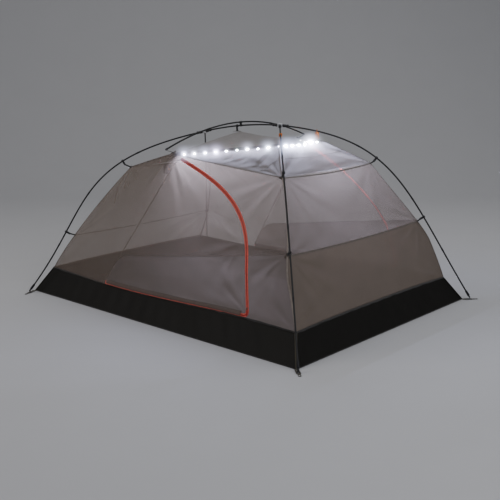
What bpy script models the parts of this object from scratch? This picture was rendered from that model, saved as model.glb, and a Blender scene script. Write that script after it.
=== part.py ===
"""Freestanding dome tent body with a hubbed pole frame and a light string under its ceiling seams.

Metres, +Z up. The origin is on the ground under the centre of the floor, +X points to the
head end, which is wider and taller than the foot end, and -Y is the front door side.
Throughout, side is the sign of y: -1 at the front and 1 at the back.
"""

import math

import bmesh
import bpy
from mathutils import Matrix, Vector

for old in list(bpy.data.objects):
    bpy.data.objects.remove(old, do_unlink=True)

# ---------------------------------------------------------------- driving dimensions
SIDES = (("front", -1), ("back", 1))

FLOOR_HALF_LENGTH = 1.145
FLOOR_HALF_WIDTH_MID = 0.841
FLOOR_TAPER = 0.0314            # extra half width per metre towards the head end
TUB_HALF_LENGTH = 1.058         # at the top edge of the bathtub wall
TUB_HALF_WIDTH_MID = 0.742
TUB_TAPER = 0.0312
TUB_TOP = 0.147

FABRIC = 0.0015                 # thickness of the wall sheets
FLOOR_FABRIC = 0.0020
GAP = 0.0025                    # between the tub's top edge and the walls above it
EDGE_INSET = 0.004              # clearance along the edges where sheets meet

BROW_CORNER_Z = 0.991           # brow corners of the ceiling, over each door
HEAD_MID = (0.912, 0.666, 0.518)    # fabric clip points on the back legs
HEAD_UP = (0.692, 0.440, 0.891)
FOOT_MID = (-0.907, 0.632, 0.386)
FOOT_UP = (-0.640, 0.368, 0.836)
CEILING_PEAK = 1.084
SEAM_CORNER = (0.467, 0.184, 1.043)  # back ceiling seam corner near the head hub

POLE_R = 0.0048
# cubic control points of the back legs, from the ground up to the hub
HEAD_LEG = (
    (1.179, 0.908, 0.015), (0.852, 0.591, 0.733), (0.794, 0.577, 1.049), (0.317, 0.0, 1.135),
)
FOOT_LEG = (
    (-1.124, 0.861, 0.015), (-0.827, 0.545, 0.574), (-0.916, 0.639, 0.878), (-0.315, 0.0, 1.063),
)
RIDGE_MID_Z = 1.117
BROW_Z = 1.139
BROW_TIP_Y = 0.657
BROW_TIP_Z = 1.018

# door outline, as (x, z) on the wall
HINGE_LOW_X = -0.505            # foot of the door's sewn side
HINGE_LOW_Z = 0.163
HINGE_TOP = (0.025, 0.945)
ZIP_START = (0.067, 0.962)
ZIP_BEND = (0.677, 0.377)
ZIP_CORNER = (0.716, 0.165)

# ---------------------------------------------------------------- collections and materials
parts = bpy.data.collections.new("dome_tent_with_light_string")
cutters = bpy.data.collections.new("cutters")
bpy.context.scene.collection.children.link(parts)
bpy.context.scene.collection.children.link(cutters)
cutters.hide_render = True

GLOW_COLOUR = (0.85, 0.9, 1.0, 1.0)


def material(name, colour, roughness, metallic=0.0, glow=0.0):
    made = bpy.data.materials.new(name)
    made.use_nodes = True
    shader = made.node_tree.nodes["Principled BSDF"]
    shader.inputs["Base Color"].default_value = (*colour, 1.0)
    shader.inputs["Roughness"].default_value = roughness
    shader.inputs["Metallic"].default_value = metallic
    if glow:
        shader.inputs["Emission Color"].default_value = GLOW_COLOUR
        shader.inputs["Emission Strength"].default_value = glow
    made.diffuse_color = (*colour, 1.0)
    return made


POLE = material("pole_black", colour=(0.02, 0.02, 0.022), roughness=0.35, metallic=0.6)
HUB = material("hub_silver", colour=(0.62, 0.63, 0.65), roughness=0.35, metallic=0.9)
TUB = material("tub_fabric", colour=(0.035, 0.033, 0.027), roughness=0.7)
MESH = material("mesh_fabric", colour=(0.19, 0.17, 0.155), roughness=0.8)
ROOF = material("roof_fabric", colour=(0.28, 0.28, 0.30), roughness=0.75)
ZIP = material("zip_red", colour=(0.62, 0.10, 0.06), roughness=0.55)
PLASTIC = material("clip_black", colour=(0.025, 0.025, 0.028), roughness=0.45)
WEBBING = material("webbing_dark", colour=(0.03, 0.03, 0.032), roughness=0.8)
ORANGE = material("webbing_orange", colour=(0.85, 0.28, 0.05), roughness=0.75)
CASE = material("case_grey", colour=(0.45, 0.46, 0.48), roughness=0.5)
CELL = material("cell_steel", colour=(0.5, 0.5, 0.52), roughness=0.4, metallic=0.8)
LIGHT = material("light_tape", colour=(0.9, 0.93, 1.0), roughness=0.4, glow=3.0)


# ---------------------------------------------------------------- object helpers
def own(base, name):
    """The part's own copy of a base material."""
    copy = base.copy()
    copy.name = name
    return copy


def add(name, mesh, base, smooth=False):
    obj = bpy.data.objects.new(name, mesh)
    parts.objects.link(obj)
    mesh.materials.append(own(base, name))
    if smooth:
        mesh.shade_smooth()
        mesh.set_sharp_from_angle(angle=math.radians(35))
    return obj


def place(obj, origin, rotation=Matrix.Identity(4)):
    obj.matrix_world = Matrix.Translation(Vector(origin)) @ rotation


def frame_from(z_axis, x_hint):
    """Rotation whose Z runs along z_axis and whose X leans towards x_hint."""
    z = Vector(z_axis).normalized()
    x = Vector(x_hint) - z * Vector(x_hint).dot(z)
    x.normalize()
    return Matrix((x, z.cross(x), z)).transposed().to_4x4()


def boolean(body, other, operation):
    modifier = body.modifiers.new(other.name, "BOOLEAN")
    modifier.operation = operation
    modifier.solver = "EXACT"
    modifier.object = other


def combine(body, operation, mesh, name, origin, rotation=Matrix.Identity(4)):
    """Join to or cut from the body a hidden helper object."""
    helper = bpy.data.objects.new(name, mesh)
    cutters.objects.link(helper)
    helper.hide_render = True
    helper.display_type = "WIRE"
    place(helper, origin, rotation)
    boolean(body, helper, operation)


def mesh_from(bm, name):
    mesh = bpy.data.meshes.new(name)
    bm.to_mesh(mesh)
    bm.free()
    return mesh


def cylinder_mesh(name, radius, length, sides=16):
    bm = bmesh.new()
    bmesh.ops.create_cone(
        bm, cap_ends=True, cap_tris=False, segments=sides,
        radius1=radius, radius2=radius, depth=length,
    )
    return mesh_from(bm, name)


def box_mesh(name, size):
    bm = bmesh.new()
    bmesh.ops.create_cube(bm, size=1.0)
    bmesh.ops.scale(bm, vec=Vector(size), verts=bm.verts)
    return mesh_from(bm, name)


def thicken(obj, thickness, offset):
    solid = obj.modifiers.new("thickness", "SOLIDIFY")
    solid.thickness = thickness
    solid.offset = offset


def sheet(name, shape, columns, rows, thickness, base):
    """A thickened grid whose unit square is carried onto a surface by shape(u, v)."""
    bm = bmesh.new()
    bmesh.ops.create_grid(bm, x_segments=columns, y_segments=rows, size=0.5)
    for vert in bm.verts:
        vert.co = Vector(shape(vert.co.x + 0.5, vert.co.y + 0.5))
    # one diagonal for both skins, so that a thickened sheet never crosses itself
    bmesh.ops.triangulate(bm, faces=list(bm.faces), quad_method="FIXED")
    thicken(add(name, mesh_from(bm, name), base), thickness, 0.0)


def add_poly(curve, points, cyclic=False):
    """Add a straight-sided spline through 3D points to a curve."""
    spline = curve.splines.new("POLY")
    spline.points.add(len(points) - 1)
    for slot, point in zip(spline.points, points):
        slot.co = (*point, 1.0)
    spline.use_cyclic_u = cyclic


def rod(name, points, radius, base):
    """A poly curve with a round bevel and filled ends."""
    curve = bpy.data.curves.new(name, "CURVE")
    curve.dimensions = "3D"
    add_poly(curve, points)
    curve.bevel_depth = radius
    curve.bevel_resolution = 2
    curve.use_fill_caps = True
    parts.objects.link(bpy.data.objects.new(name, curve))
    curve.materials.append(own(base, name))


def outline(name, loops, half_thickness, base=None):
    """A flat plate from closed outlines in its local XY plane; inner loops are holes.

    Without a material it goes to the cutters.
    """
    curve = bpy.data.curves.new(name, "CURVE")
    curve.dimensions = "2D"
    curve.fill_mode = "BOTH"
    curve.extrude = half_thickness
    for loop in loops:
        add_poly(curve, [(x, y, 0.0) for x, y in loop], cyclic=True)
    obj = bpy.data.objects.new(name, curve)
    if base is None:
        cutters.objects.link(obj)
    else:
        parts.objects.link(obj)
        curve.materials.append(own(base, name))
    return obj


def to_mesh(obj):
    """Replace a curve object by a welded mesh object of the same name and place."""
    bpy.context.view_layer.update()
    graph = bpy.context.evaluated_depsgraph_get()
    mesh = bpy.data.meshes.new_from_object(obj.evaluated_get(graph))
    bm = bmesh.new()
    bm.from_mesh(mesh)
    bmesh.ops.remove_doubles(bm, verts=bm.verts, dist=1e-6)
    bmesh.ops.recalc_face_normals(bm, faces=bm.faces)
    bm.to_mesh(mesh)
    bm.free()
    made = bpy.data.objects.new(obj.name + "_mesh", mesh)
    made.matrix_world = obj.matrix_world.copy()
    name, data = obj.name, obj.data
    for home in list(obj.users_collection):
        home.objects.link(made)
    bpy.data.objects.remove(obj, do_unlink=True)
    bpy.data.curves.remove(data)
    made.name = name
    return made


# ---------------------------------------------------------------- geometry helpers
def lerp(first, last, share):
    return first + (last - first) * share


def lerp_pair(first, last, share):
    return (lerp(first[0], last[0], share), lerp(first[1], last[1], share))


def unit(pair):
    length = math.hypot(pair[0], pair[1])
    return (pair[0] / length, pair[1] / length)


def direction_between(start, end):
    return unit((end[0] - start[0], end[1] - start[1]))


def span_at(u, count):
    """The span index and the share within it, for u from 0 to 1 over count spans."""
    i = min(count - 1, int(u * count + 1e-6))
    return i, u * count - i


def span_lengths(points):
    return [math.dist(points[i], points[i + 1]) for i in range(len(points) - 1)]


def along(points, t):
    """The point at share t of the length of a line of 2D points."""
    lengths = span_lengths(points)
    left = t * sum(lengths)
    for i, length in enumerate(lengths):
        if left <= length or i == len(lengths) - 1:
            return lerp_pair(points[i], points[i + 1], min(1.0, left / length))
        left -= length


def quadratic(z, points):
    """x at height z on the parabola through three (x, z) points."""
    total = 0.0
    for i, (x, height) in enumerate(points):
        share = 1.0
        for j, (_, other) in enumerate(points):
            if i != j:
                share *= (z - other) / (height - other)
        total += share * x
    return total


def bezier(controls, t):
    start, leave, arrive, end = (Vector(point) for point in controls)
    return (start * (1 - t) ** 3 + leave * 3 * (1 - t) ** 2 * t
            + arrive * 3 * (1 - t) * t * t + end * t**3)


def bezier_slope(controls, t):
    start, leave, arrive, end = (Vector(point) for point in controls)
    slope = ((leave - start) * (1 - t) ** 2 + (arrive - leave) * 2 * (1 - t) * t
             + (end - arrive) * t * t)
    return slope.normalized()


def at_height(leg, z):
    """The curve parameter where a leg reaches height z on its way up."""
    low, high = 0.0, 0.85
    for _ in range(40):
        middle = (low + high) / 2
        if bezier(leg, middle).z < z:
            low = middle
        else:
            high = middle
    return (low + high) / 2


def mirrored(points, side):
    return tuple((x, y * side, z) for x, y, z in points)


def circle_arc(radius, first_degrees, sweep_degrees=300, steps=12):
    """Points on a circle about the origin, both ends of the sweep included."""
    angles = [math.radians(first_degrees + sweep_degrees * i / steps) for i in range(steps + 1)]
    return [(radius * math.cos(angle), radius * math.sin(angle)) for angle in angles]


# ---------------------------------------------------------------- tub floor
TUB_WAVE = 0.011                # height of the slow wave along the long sides
TUB_WAVE_START = 0.2            # x where the wave crosses zero
TUB_END_RISE = 0.010            # extra height mid-way across each end
TUB_END_HALF = 0.74             # half width over which that rise fades


def floor_half(x):
    return FLOOR_HALF_WIDTH_MID + FLOOR_TAPER * x


def tub_half(x):
    return TUB_HALF_WIDTH_MID + TUB_TAPER * x


def tub_top(x, y=None):
    """Height of the tub's top edge; with y given, the ends rise mid-way."""
    z = TUB_TOP + TUB_WAVE * math.sin(math.pi * (x - TUB_WAVE_START))
    if y is not None and abs(x) > TUB_HALF_LENGTH - 0.02:
        z += TUB_END_RISE * (1 - min(1.0, abs(y) / TUB_END_HALF) ** 3)
    return z


def tub_floor():
    """Flat floor whose edge strip is folded up and in to the tub's top edge."""
    bm = bmesh.new()
    bmesh.ops.create_grid(bm, x_segments=13, y_segments=9, size=0.5)
    for vert in bm.verts:
        x = vert.co.x * 2 * FLOOR_HALF_LENGTH
        vert.co = Vector((x, vert.co.y * 2 * floor_half(x), 0.0))
    rim = [edge for edge in bm.edges if edge.is_boundary]
    raised = bmesh.ops.extrude_edge_only(bm, edges=rim)["geom"]
    for vert in (item for item in raised if isinstance(item, bmesh.types.BMVert)):
        x = vert.co.x * TUB_HALF_LENGTH / FLOOR_HALF_LENGTH
        y = vert.co.y * tub_half(x) / floor_half(vert.co.x)
        vert.co = Vector((x, y, tub_top(x, y)))
    bmesh.ops.recalc_face_normals(bm, faces=bm.faces)
    # normals point down and out, so that the thickness grows into the tub
    if min(bm.faces, key=lambda face: face.calc_center_median().length).normal.z > 0:
        bmesh.ops.reverse_faces(bm, faces=bm.faces)
    thicken(add("tub_floor", mesh_from(bm, "tub_floor"), TUB), FLOOR_FABRIC, -1.0)


tub_floor()

# ---------------------------------------------------------------- wall and ceiling surfaces
WALL_LOW_Z = 0.149              # nominal height of the walls' lower edge
WALL_LEAN = 0.171               # inward lean per metre of height
INSET_ALONG = EDGE_INSET / 1.6  # the inset as a share of a long wall's length
INSET_UP = EDGE_INSET / 0.8     # and of a wall's height

# the upper outer corners of the long walls are pulled in to the clips
HEAD_PULL, HEAD_PULL_X, HEAD_PULL_Z = 0.1967, 0.03, 0.403   # amount, and where it starts
FOOT_PULL, FOOT_PULL_REACH, FOOT_PULL_Z = 0.238, 0.5876, 0.186
HINGE_RUN = HINGE_TOP[0] - HINGE_LOW_X
HINGE_RISE = HINGE_TOP[1] - HINGE_LOW_Z

# outer edges of the long walls, as (x, z)
HEAD_EDGE = (
    (TUB_HALF_LENGTH, WALL_LOW_Z), (HEAD_MID[0], HEAD_MID[2]), (HEAD_UP[0], HEAD_UP[2]),
)
FOOT_EDGE = (
    (-TUB_HALF_LENGTH, WALL_LOW_Z), (FOOT_MID[0], FOOT_MID[2]), (FOOT_UP[0], FOOT_UP[2]),
)

SEAM_SHARE = 0.375              # share of the half width at which the seam corners lie
SEAM_MIDDLE_Z = 1.037           # ceiling height mid-way between the seam corners
HEAD_EAVE_DIP = 0.004           # how far the ceiling's head edge sags mid-way
CEILING_CURVE = 1.45            # exponent of the ceiling's rise towards the middle
CREASE_LIMIT = 0.985            # outermost place of the crease row
FOOT_CREASE = 0.70
CREASE_V = 0.6                  # share of the grid's half width inside the crease row
ROOF_LIFT = 0.001
ROOF_COLUMNS = (
    FOOT_UP[0], -0.500, -0.360, -0.235, -0.115, 0.0,
    0.120, 0.240, 0.355, SEAM_CORNER[0], 0.580, HEAD_UP[0],
)


def wall_half(x, z):
    """Distance of a long wall from the middle plane: a leaning plane with pulled-in corners."""
    head = foot = 0.0
    if x > HEAD_PULL_X and z > HEAD_PULL_Z:
        across = (x - HEAD_PULL_X) / (HEAD_UP[0] - HEAD_PULL_X)
        up = (z - HEAD_PULL_Z) / (HEAD_UP[2] - HEAD_PULL_Z)
        head = HEAD_PULL * across**1.5 * up**1.4
    beyond = HINGE_LOW_X + HINGE_RUN * (z - HINGE_LOW_Z) / HINGE_RISE - x
    if beyond > 0 and z > FOOT_PULL_Z:
        up = (z - FOOT_PULL_Z) / (FOOT_UP[2] - FOOT_PULL_Z)
        foot = FOOT_PULL * (beyond / FOOT_PULL_REACH) ** 1.5 * up**1.6
    return tub_half(x) - WALL_LEAN * (z - WALL_LOW_Z) - max(head, foot)


def on_wall(point, side):
    """The point of a long wall at a given (x, z)."""
    x, z = point
    return (x, side * wall_half(x, z), z)


def eave(x):
    """Height of the seam from the brow corner out to the upper clips."""
    clip_point = HEAD_UP if x > 0 else FOOT_UP
    return BROW_CORNER_Z - (BROW_CORNER_Z - clip_point[2]) * x / clip_point[0]


def eave_half(x):
    return wall_half(x, eave(x))


def wall_point(u, v, side):
    """A point of a long wall, u from foot to head and v upwards."""
    u = lerp(INSET_ALONG, 1 - INSET_ALONG, u)
    v = lerp(0.0, 1 - INSET_UP, v)
    foot_x = quadratic(lerp(WALL_LOW_Z, FOOT_UP[2], v), FOOT_EDGE)
    head_x = quadratic(lerp(WALL_LOW_Z, HEAD_UP[2], v), HEAD_EDGE)
    x = lerp(foot_x, head_x, u)
    top = eave(lerp(FOOT_UP[0], HEAD_UP[0], u))
    return on_wall((x, lerp(tub_top(x) + GAP, top, v)), side)


def end_point(u, v, edge):
    """A point of the head or foot wall, between the two long walls' outer edges."""
    v = lerp(0.0, 1 - INSET_UP, v)
    z = lerp(WALL_LOW_Z, edge[-1][1], v)
    x = quadratic(z, edge)
    y = (wall_half(x, z) - EDGE_INSET) * lerp(-1.0, 1.0, u)
    if v < 1e-6:
        # the lowest row follows the tub's top edge
        return (math.copysign(TUB_HALF_LENGTH - 0.0002, x), y, tub_top(x, y) + GAP)
    return (x, y, z)


def beyond_seam(x):
    """Share of the way from the seam corners to the head edge."""
    return (x - SEAM_CORNER[0]) / (HEAD_UP[0] - SEAM_CORNER[0])


def seam_crease(x):
    """Share of the half width at which the ceiling seam lies, on the head side of the brow."""
    if x < SEAM_CORNER[0]:
        return lerp(1.0, SEAM_SHARE, x / SEAM_CORNER[0])
    return lerp(SEAM_SHARE, 1.0, beyond_seam(x))


def roof_z(x, t):
    """Height of the ceiling at x, with t from -1 at the front eave to 1 at the back one."""
    t = abs(t)
    edge = eave(x)
    if x <= 0:
        share = x / FOOT_UP[0]
        middle = CEILING_PEAK - (CEILING_PEAK - FOOT_UP[2]) * share**1.25
        return edge + (middle - edge) * (1 - t) ** lerp(CEILING_CURVE, 0.9, share)
    if x < SEAM_CORNER[0]:
        share = x / SEAM_CORNER[0]
        crease_z = lerp(BROW_CORNER_Z, SEAM_CORNER[2], share)
        middle = lerp(CEILING_PEAK, SEAM_MIDDLE_Z, share**0.8)
    else:
        share = beyond_seam(x)
        crease_z = lerp(SEAM_CORNER[2], HEAD_UP[2], share)
        middle = lerp(SEAM_MIDDLE_Z, HEAD_UP[2] - HEAD_EAVE_DIP, share)
    crease = seam_crease(x)
    if t < crease:
        return crease_z + (middle - crease_z) * (1 - t / crease) ** CEILING_CURVE
    return lerp(crease_z, edge, (t - crease) / max(1e-6, 1 - crease))


def roof_crease(x):
    """Share of the half width at which a column's crease row lies."""
    if x <= 0:
        return lerp(CREASE_LIMIT, FOOT_CREASE, x / FOOT_UP[0])
    return min(CREASE_LIMIT, seam_crease(x))


def roof_point(u, v):
    """A point of the ceiling; columns run across the tent and one row line follows the crease."""
    i, share = span_at(u, len(ROOF_COLUMNS) - 1)
    x = lerp(ROOF_COLUMNS[i], ROOF_COLUMNS[i + 1], share)
    x = min(max(x, FOOT_UP[0] + EDGE_INSET), HEAD_UP[0] - EDGE_INSET)
    half = eave_half(x)
    across = 2 * v - 1
    out = abs(across)
    crease = roof_crease(x)
    if out <= CREASE_V:
        t = out / CREASE_V * crease
    else:
        t = lerp(crease, 1.0, (out - CREASE_V) / (1 - CREASE_V))
    t = math.copysign(min(t, 1 - EDGE_INSET / half), across)
    return (x, half * t, roof_z(x, t) + ROOF_LIFT)


# ---------------------------------------------------------------- zip line, in the wall's x and z
ZIP_HALF = 0.0105               # outer edge of each zip tape, from the centre line
ZIP_GAP = 0.0008                # inner edge of each zip tape, from the centre line
ZIP_ABOVE_TUB = 0.012
ZIP_DOWN = direction_between(ZIP_BEND, ZIP_CORNER)
ZIP_START_PULL = (0.43 * 0.93, -0.43 * 0.36)    # handle of the arc at its top
ZIP_BEND_PULL = 0.26            # length of the arc's handle at the bend
CORNER_R = 0.035                # how far the rounded corner reaches along each straight
ARC_STEPS, CORNER_STEPS, SILL_STEPS = 14, 5, 12
CORNER_INDEX = 18               # a point midway round the corner


def above_tub(x):
    return (x, tub_top(x) + ZIP_ABOVE_TUB)


def zip_line():
    """Centre line from under the brow corner, over the arc, down and back along the tub."""
    controls = (
        ZIP_START,
        (ZIP_START[0] + ZIP_START_PULL[0], ZIP_START[1] + ZIP_START_PULL[1]),
        (ZIP_BEND[0] - ZIP_BEND_PULL * ZIP_DOWN[0], ZIP_BEND[1] - ZIP_BEND_PULL * ZIP_DOWN[1]),
        ZIP_BEND,
    )
    points = []
    for i in range(ARC_STEPS + 1):
        t = i / ARC_STEPS
        weights = ((1 - t) ** 3, 3 * (1 - t) ** 2 * t, 3 * (1 - t) * t * t, t**3)
        points.append(tuple(
            sum(weight * control[k] for weight, control in zip(weights, controls))
            for k in (0, 1)
        ))
    low = above_tub(ZIP_CORNER[0])[1]
    foot = (ZIP_BEND[0] + ZIP_DOWN[0] * (ZIP_BEND[1] - low) / -ZIP_DOWN[1], low)
    start = (foot[0] - ZIP_DOWN[0] * CORNER_R, foot[1] - ZIP_DOWN[1] * CORNER_R)
    end = above_tub(foot[0] - CORNER_R)
    points.append(((ZIP_BEND[0] + start[0]) / 2, (ZIP_BEND[1] + start[1]) / 2))
    for i in range(CORNER_STEPS + 1):
        t = i / CORNER_STEPS
        points.append(tuple(
            start[k] * (1 - t) ** 2 + 2 * foot[k] * (1 - t) * t + end[k] * t * t
            for k in (0, 1)
        ))
    for i in range(1, SILL_STEPS + 1):
        points.append(above_tub(lerp(end[0], HINGE_LOW_X, i / SILL_STEPS)))
    return points


ZIP_POINTS = zip_line()


def zip_offset(distance):
    """The zip line moved out of the door by distance."""
    moved = []
    for i, point in enumerate(ZIP_POINTS):
        before = ZIP_POINTS[max(0, i - 1)]
        after = ZIP_POINTS[min(len(ZIP_POINTS) - 1, i + 1)]
        heading = direction_between(before, after)
        moved.append((point[0] - heading[1] * distance, point[1] + heading[0] * distance))
    return moved


def zip_tape(name, near, far, side):
    """A tape along the zip line, between two offsets from it."""
    near_edge, far_edge = zip_offset(near), zip_offset(far)
    count = len(ZIP_POINTS) - 1

    def shape(u, v):
        i, share = span_at(u, count)
        near_point = lerp_pair(near_edge[i], near_edge[i + 1], share)
        far_point = lerp_pair(far_edge[i], far_edge[i + 1], share)
        return on_wall(lerp_pair(near_point, far_point, v), side)

    sheet(name, shape, count, 1, FABRIC, ZIP)


# ---------------------------------------------------------------- doors, walls and ceiling
DOOR_CLEARANCE = 0.0120         # from the zip line to the door's edge and to the wall's edge
DOOR_EDGE = zip_offset(-DOOR_CLEARANCE)
DOOR_ARC = list(reversed(DOOR_EDGE[: CORNER_INDEX + 1]))
DOOR_SILL = list(reversed(DOOR_EDGE[CORNER_INDEX:]))
HINGE_LOW = (HINGE_LOW_X, DOOR_EDGE[-1][1])
HINGE_SHIFT = 0.0009            # half gap along x between door and wall at the sewn side
DOOR_CUT_LOW = 0.05             # the cutter reaches below the wall's lower edge
DOOR_CUT_Y = 0.65
DOOR_CUT_HALF_DEPTH = 0.30


def door_point(u, v, side):
    """A point of a door, u from the sewn side to the arc and v upwards."""
    hinge_x, hinge_z = lerp_pair(HINGE_LOW, HINGE_TOP, v)
    x, z = lerp_pair((hinge_x + HINGE_SHIFT, hinge_z), along(DOOR_ARC, v), u)
    # the sill's departure from a straight line fades upwards; the sewn side stays straight
    fade = 0 if u == 0 else 1 - v
    sill = along(DOOR_SILL, u)
    flat = lerp_pair((HINGE_LOW[0] + HINGE_SHIFT, HINGE_LOW[1]), DOOR_ARC[0], u)
    return on_wall((x + (sill[0] - flat[0]) * fade, z + (sill[1] - flat[1]) * fade), side)


def long_wall(name, side):
    """A long wall with its door opening cut out."""
    sheet(name, lambda u, v: wall_point(u, v, side), 13, 8, FABRIC, MESH)
    edge = zip_offset(DOOR_CLEARANCE)
    lean = (HINGE_TOP[0] - HINGE_LOW[0]) / (HINGE_TOP[1] - HINGE_LOW[1])
    low_hinge_x = HINGE_LOW[0] - HINGE_SHIFT + lean * (DOOR_CUT_LOW - HINGE_LOW[1])
    loop = [
        (HINGE_TOP[0] - HINGE_SHIFT, HINGE_TOP[1] + 0.002),
        (edge[0][0] - 0.012, edge[0][1]),
        *edge[: CORNER_INDEX + 2],
        (edge[CORNER_INDEX + 2][0], DOOR_CUT_LOW),
        (low_hinge_x, DOOR_CUT_LOW),
    ]
    plate = outline(name + "_door_cutter", [loop], DOOR_CUT_HALF_DEPTH)
    place(plate, (0, side * DOOR_CUT_Y, 0), Matrix.Rotation(math.pi / 2, 4, "X"))
    boolean(parts.objects[name], to_mesh(plate), "DIFFERENCE")


def door(name, side):
    sheet(name + "_door", lambda u, v: door_point(u, v, side), 8, 9, FABRIC, MESH)
    zip_tape(name + "_zip_frame_side", ZIP_GAP, ZIP_HALF, side)
    zip_tape(name + "_zip_door_side", -ZIP_GAP, -ZIP_HALF, side)


for side_name, side in SIDES:
    long_wall(side_name + "_wall", side)
    door(side_name, side)
sheet("head_wall", lambda u, v: end_point(u, v, HEAD_EDGE), 8, 6, FABRIC, MESH)
sheet("foot_wall", lambda u, v: end_point(u, v, FOOT_EDGE), 8, 6, FABRIC, MESH)
sheet("roof", roof_point, len(ROOF_COLUMNS) - 1, 10, FABRIC, ROOF)

# ---------------------------------------------------------------- hubs, ridge and brow poles
HUB_R, HUB_HEIGHT = 0.017, 0.020
# label, radius, length, distance of its middle from the hub's centre, operation
HUB_ARMS = (
    ("socket", 0.0085, 0.050, 0.029, "UNION"),
    ("bore", 0.0062, 0.060, 0.056, "DIFFERENCE"),
)
RIDGE_FOOT, RIDGE_HEAD = Vector(FOOT_LEG[3]), Vector(HEAD_LEG[3])
RIDGE_CONTROL = Vector((0.0, 0.0, 2 * RIDGE_MID_Z - (RIDGE_FOOT.z + RIDGE_HEAD.z) / 2))
RIDGE_END = 0.045               # share of the ridge left out at each hub
SWIVEL_R = 0.0085
SWIVEL_CLEARANCE = 0.0030       # total free height between the swivel and the two poles
SWIVEL_LIFT = 0.0008


def ridge(t):
    """A point of the ridge pole's centre line, from the foot hub to the head hub."""
    return RIDGE_FOOT * (1 - t) ** 2 + RIDGE_CONTROL * 2 * (1 - t) * t + RIDGE_HEAD * t * t


def ridge_slope(t):
    slope = (RIDGE_CONTROL - RIDGE_FOOT) * (1 - t) + (RIDGE_HEAD - RIDGE_CONTROL) * t
    return slope.normalized()


def hub(name, leg, ridge_direction):
    """A puck with a bored socket for each of its two legs and for the ridge pole."""
    centre = Vector(leg[3])
    body = add(name, cylinder_mesh(name, HUB_R, HUB_HEIGHT, 20), HUB, smooth=True)
    place(body, centre)
    slopes = [-bezier_slope(mirrored(leg, side), 1.0) for _, side in SIDES] + [ridge_direction]
    for label, radius, length, distance, operation in HUB_ARMS:
        for i, slope in enumerate(slopes):
            direction = slope.normalized()
            combine(body, operation, cylinder_mesh(label, radius, length), f"{name}_{label}_{i}",
                    centre + direction * distance, frame_from(direction, (0, 0, 1)))


def brow(y):
    return Vector((0.0, y, BROW_Z - (BROW_Z - BROW_TIP_Z) * (y / BROW_TIP_Y) ** 2))


def brow_swivel():
    """The upright cylinder between the ridge pole and the brow pole."""
    height = BROW_Z - RIDGE_MID_Z - 2 * POLE_R - SWIVEL_CLEARANCE
    mesh = cylinder_mesh("brow_swivel", SWIVEL_R, height, 20)
    swivel = add("brow_swivel", mesh, PLASTIC, smooth=True)
    place(swivel, (0, 0, (BROW_Z + RIDGE_MID_Z) / 2 + SWIVEL_LIFT))


hub("head_hub", HEAD_LEG, -ridge_slope(1.0))
hub("foot_hub", FOOT_LEG, ridge_slope(0.0))
rod("ridge_pole", [ridge(lerp(RIDGE_END, 1 - RIDGE_END, i / 8)) for i in range(9)], POLE_R, POLE)
rod("brow_pole", [brow(lerp(-BROW_TIP_Y, BROW_TIP_Y, i / 14)) for i in range(15)], POLE_R, POLE)
brow_swivel()

# ---------------------------------------------------------------- legs, foot tips, clips and corners
JOIN_HEIGHT = 0.640             # where a leg's lower section meets its upper one
JOIN_GAP = 0.0003               # curve parameter left free on each side of the join
LEG_START, LEG_END = 0.0135, 0.986  # curve parameters of a leg's two ends

# (radius, z) of the foot cap: blind bore, rim, outside, slim tip
FOOT_PROFILE = (
    (0.0, 0.020), (0.0056, 0.020), (0.0056, 0.046), (0.0078, 0.046), (0.0078, 0.018),
    (0.0050, 0.010), (0.0050, -0.004), (0.0030, -0.0075), (0.0, -0.0085),
)

CLIP_OUTER_R, CLIP_INNER_R = 0.0094, 0.0060
CLIP_HALF_THICK = 0.0055
CLIP_STEM = [(0.030, -0.0060), (0.030, 0.0060)]
CLIP_SLOT = [(0.022, -0.0040), (0.026, -0.0040), (0.026, 0.0040), (0.022, 0.0040)]

EYELET_R = 0.0070
STRAP_HALF_WIDTH = 0.0125
STRAP_HALF_THICK = 0.0010
STRAP_START = 0.008             # from the floor corner to the strap's inner end
STRAP_Z = 0.0014
# stake loop outlines; x runs outwards from the end of the corner strap
STAKE_OFFSET = 0.0215           # from the eyelet to the stake loop's origin
STAKE_HALF_THICK = 0.0009
STAKE_RING = [
    (0.0006, -0.0080), (0.028, -0.0080), (0.034, -0.003),
    (0.034, 0.003), (0.028, 0.0080), (0.0006, 0.0080),
]
STAKE_EYE = [(0.006, -0.0045), (0.026, -0.0045), (0.029, 0.0), (0.026, 0.0045), (0.006, 0.0045)]

# end, leg, then the mid and the upper clip, each as (height on the leg, fabric point)
ENDS = (
    ("head", HEAD_LEG, (0.546, HEAD_MID), (0.925, HEAD_UP)),
    ("foot", FOOT_LEG, (0.409, FOOT_MID), (0.873, FOOT_UP)),
)


def leg_poles(corner, leg):
    join = at_height(leg, JOIN_HEIGHT)
    lower = [bezier(leg, lerp(LEG_START, join - JOIN_GAP, i / 9)) for i in range(10)]
    upper = [bezier(leg, lerp(join + JOIN_GAP, LEG_END, i / 16)) for i in range(17)]
    rod("leg_lower_" + corner, lower, POLE_R, POLE)
    rod("leg_upper_" + corner, upper, POLE_R, POLE)


def foot_tip(name, leg):
    """A turned cap with a blind bore for the pole and a slim tip in the corner eyelet."""
    bm = bmesh.new()
    verts = [bm.verts.new((radius, 0.0, z)) for radius, z in FOOT_PROFILE]
    for start, end in zip(verts, verts[1:]):
        bm.edges.new((start, end))
    obj = add(name, mesh_from(bm, name), PLASTIC)
    screw = obj.modifiers.new("turned", "SCREW")
    screw.axis = "Z"
    screw.steps = 16
    screw.render_steps = 16
    screw.use_merge_vertices = True
    screw.merge_threshold = 0.0001
    place(obj, bezier(leg, 0.0), frame_from(bezier_slope(leg, 0.01), (1, 0, 0)))


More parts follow.
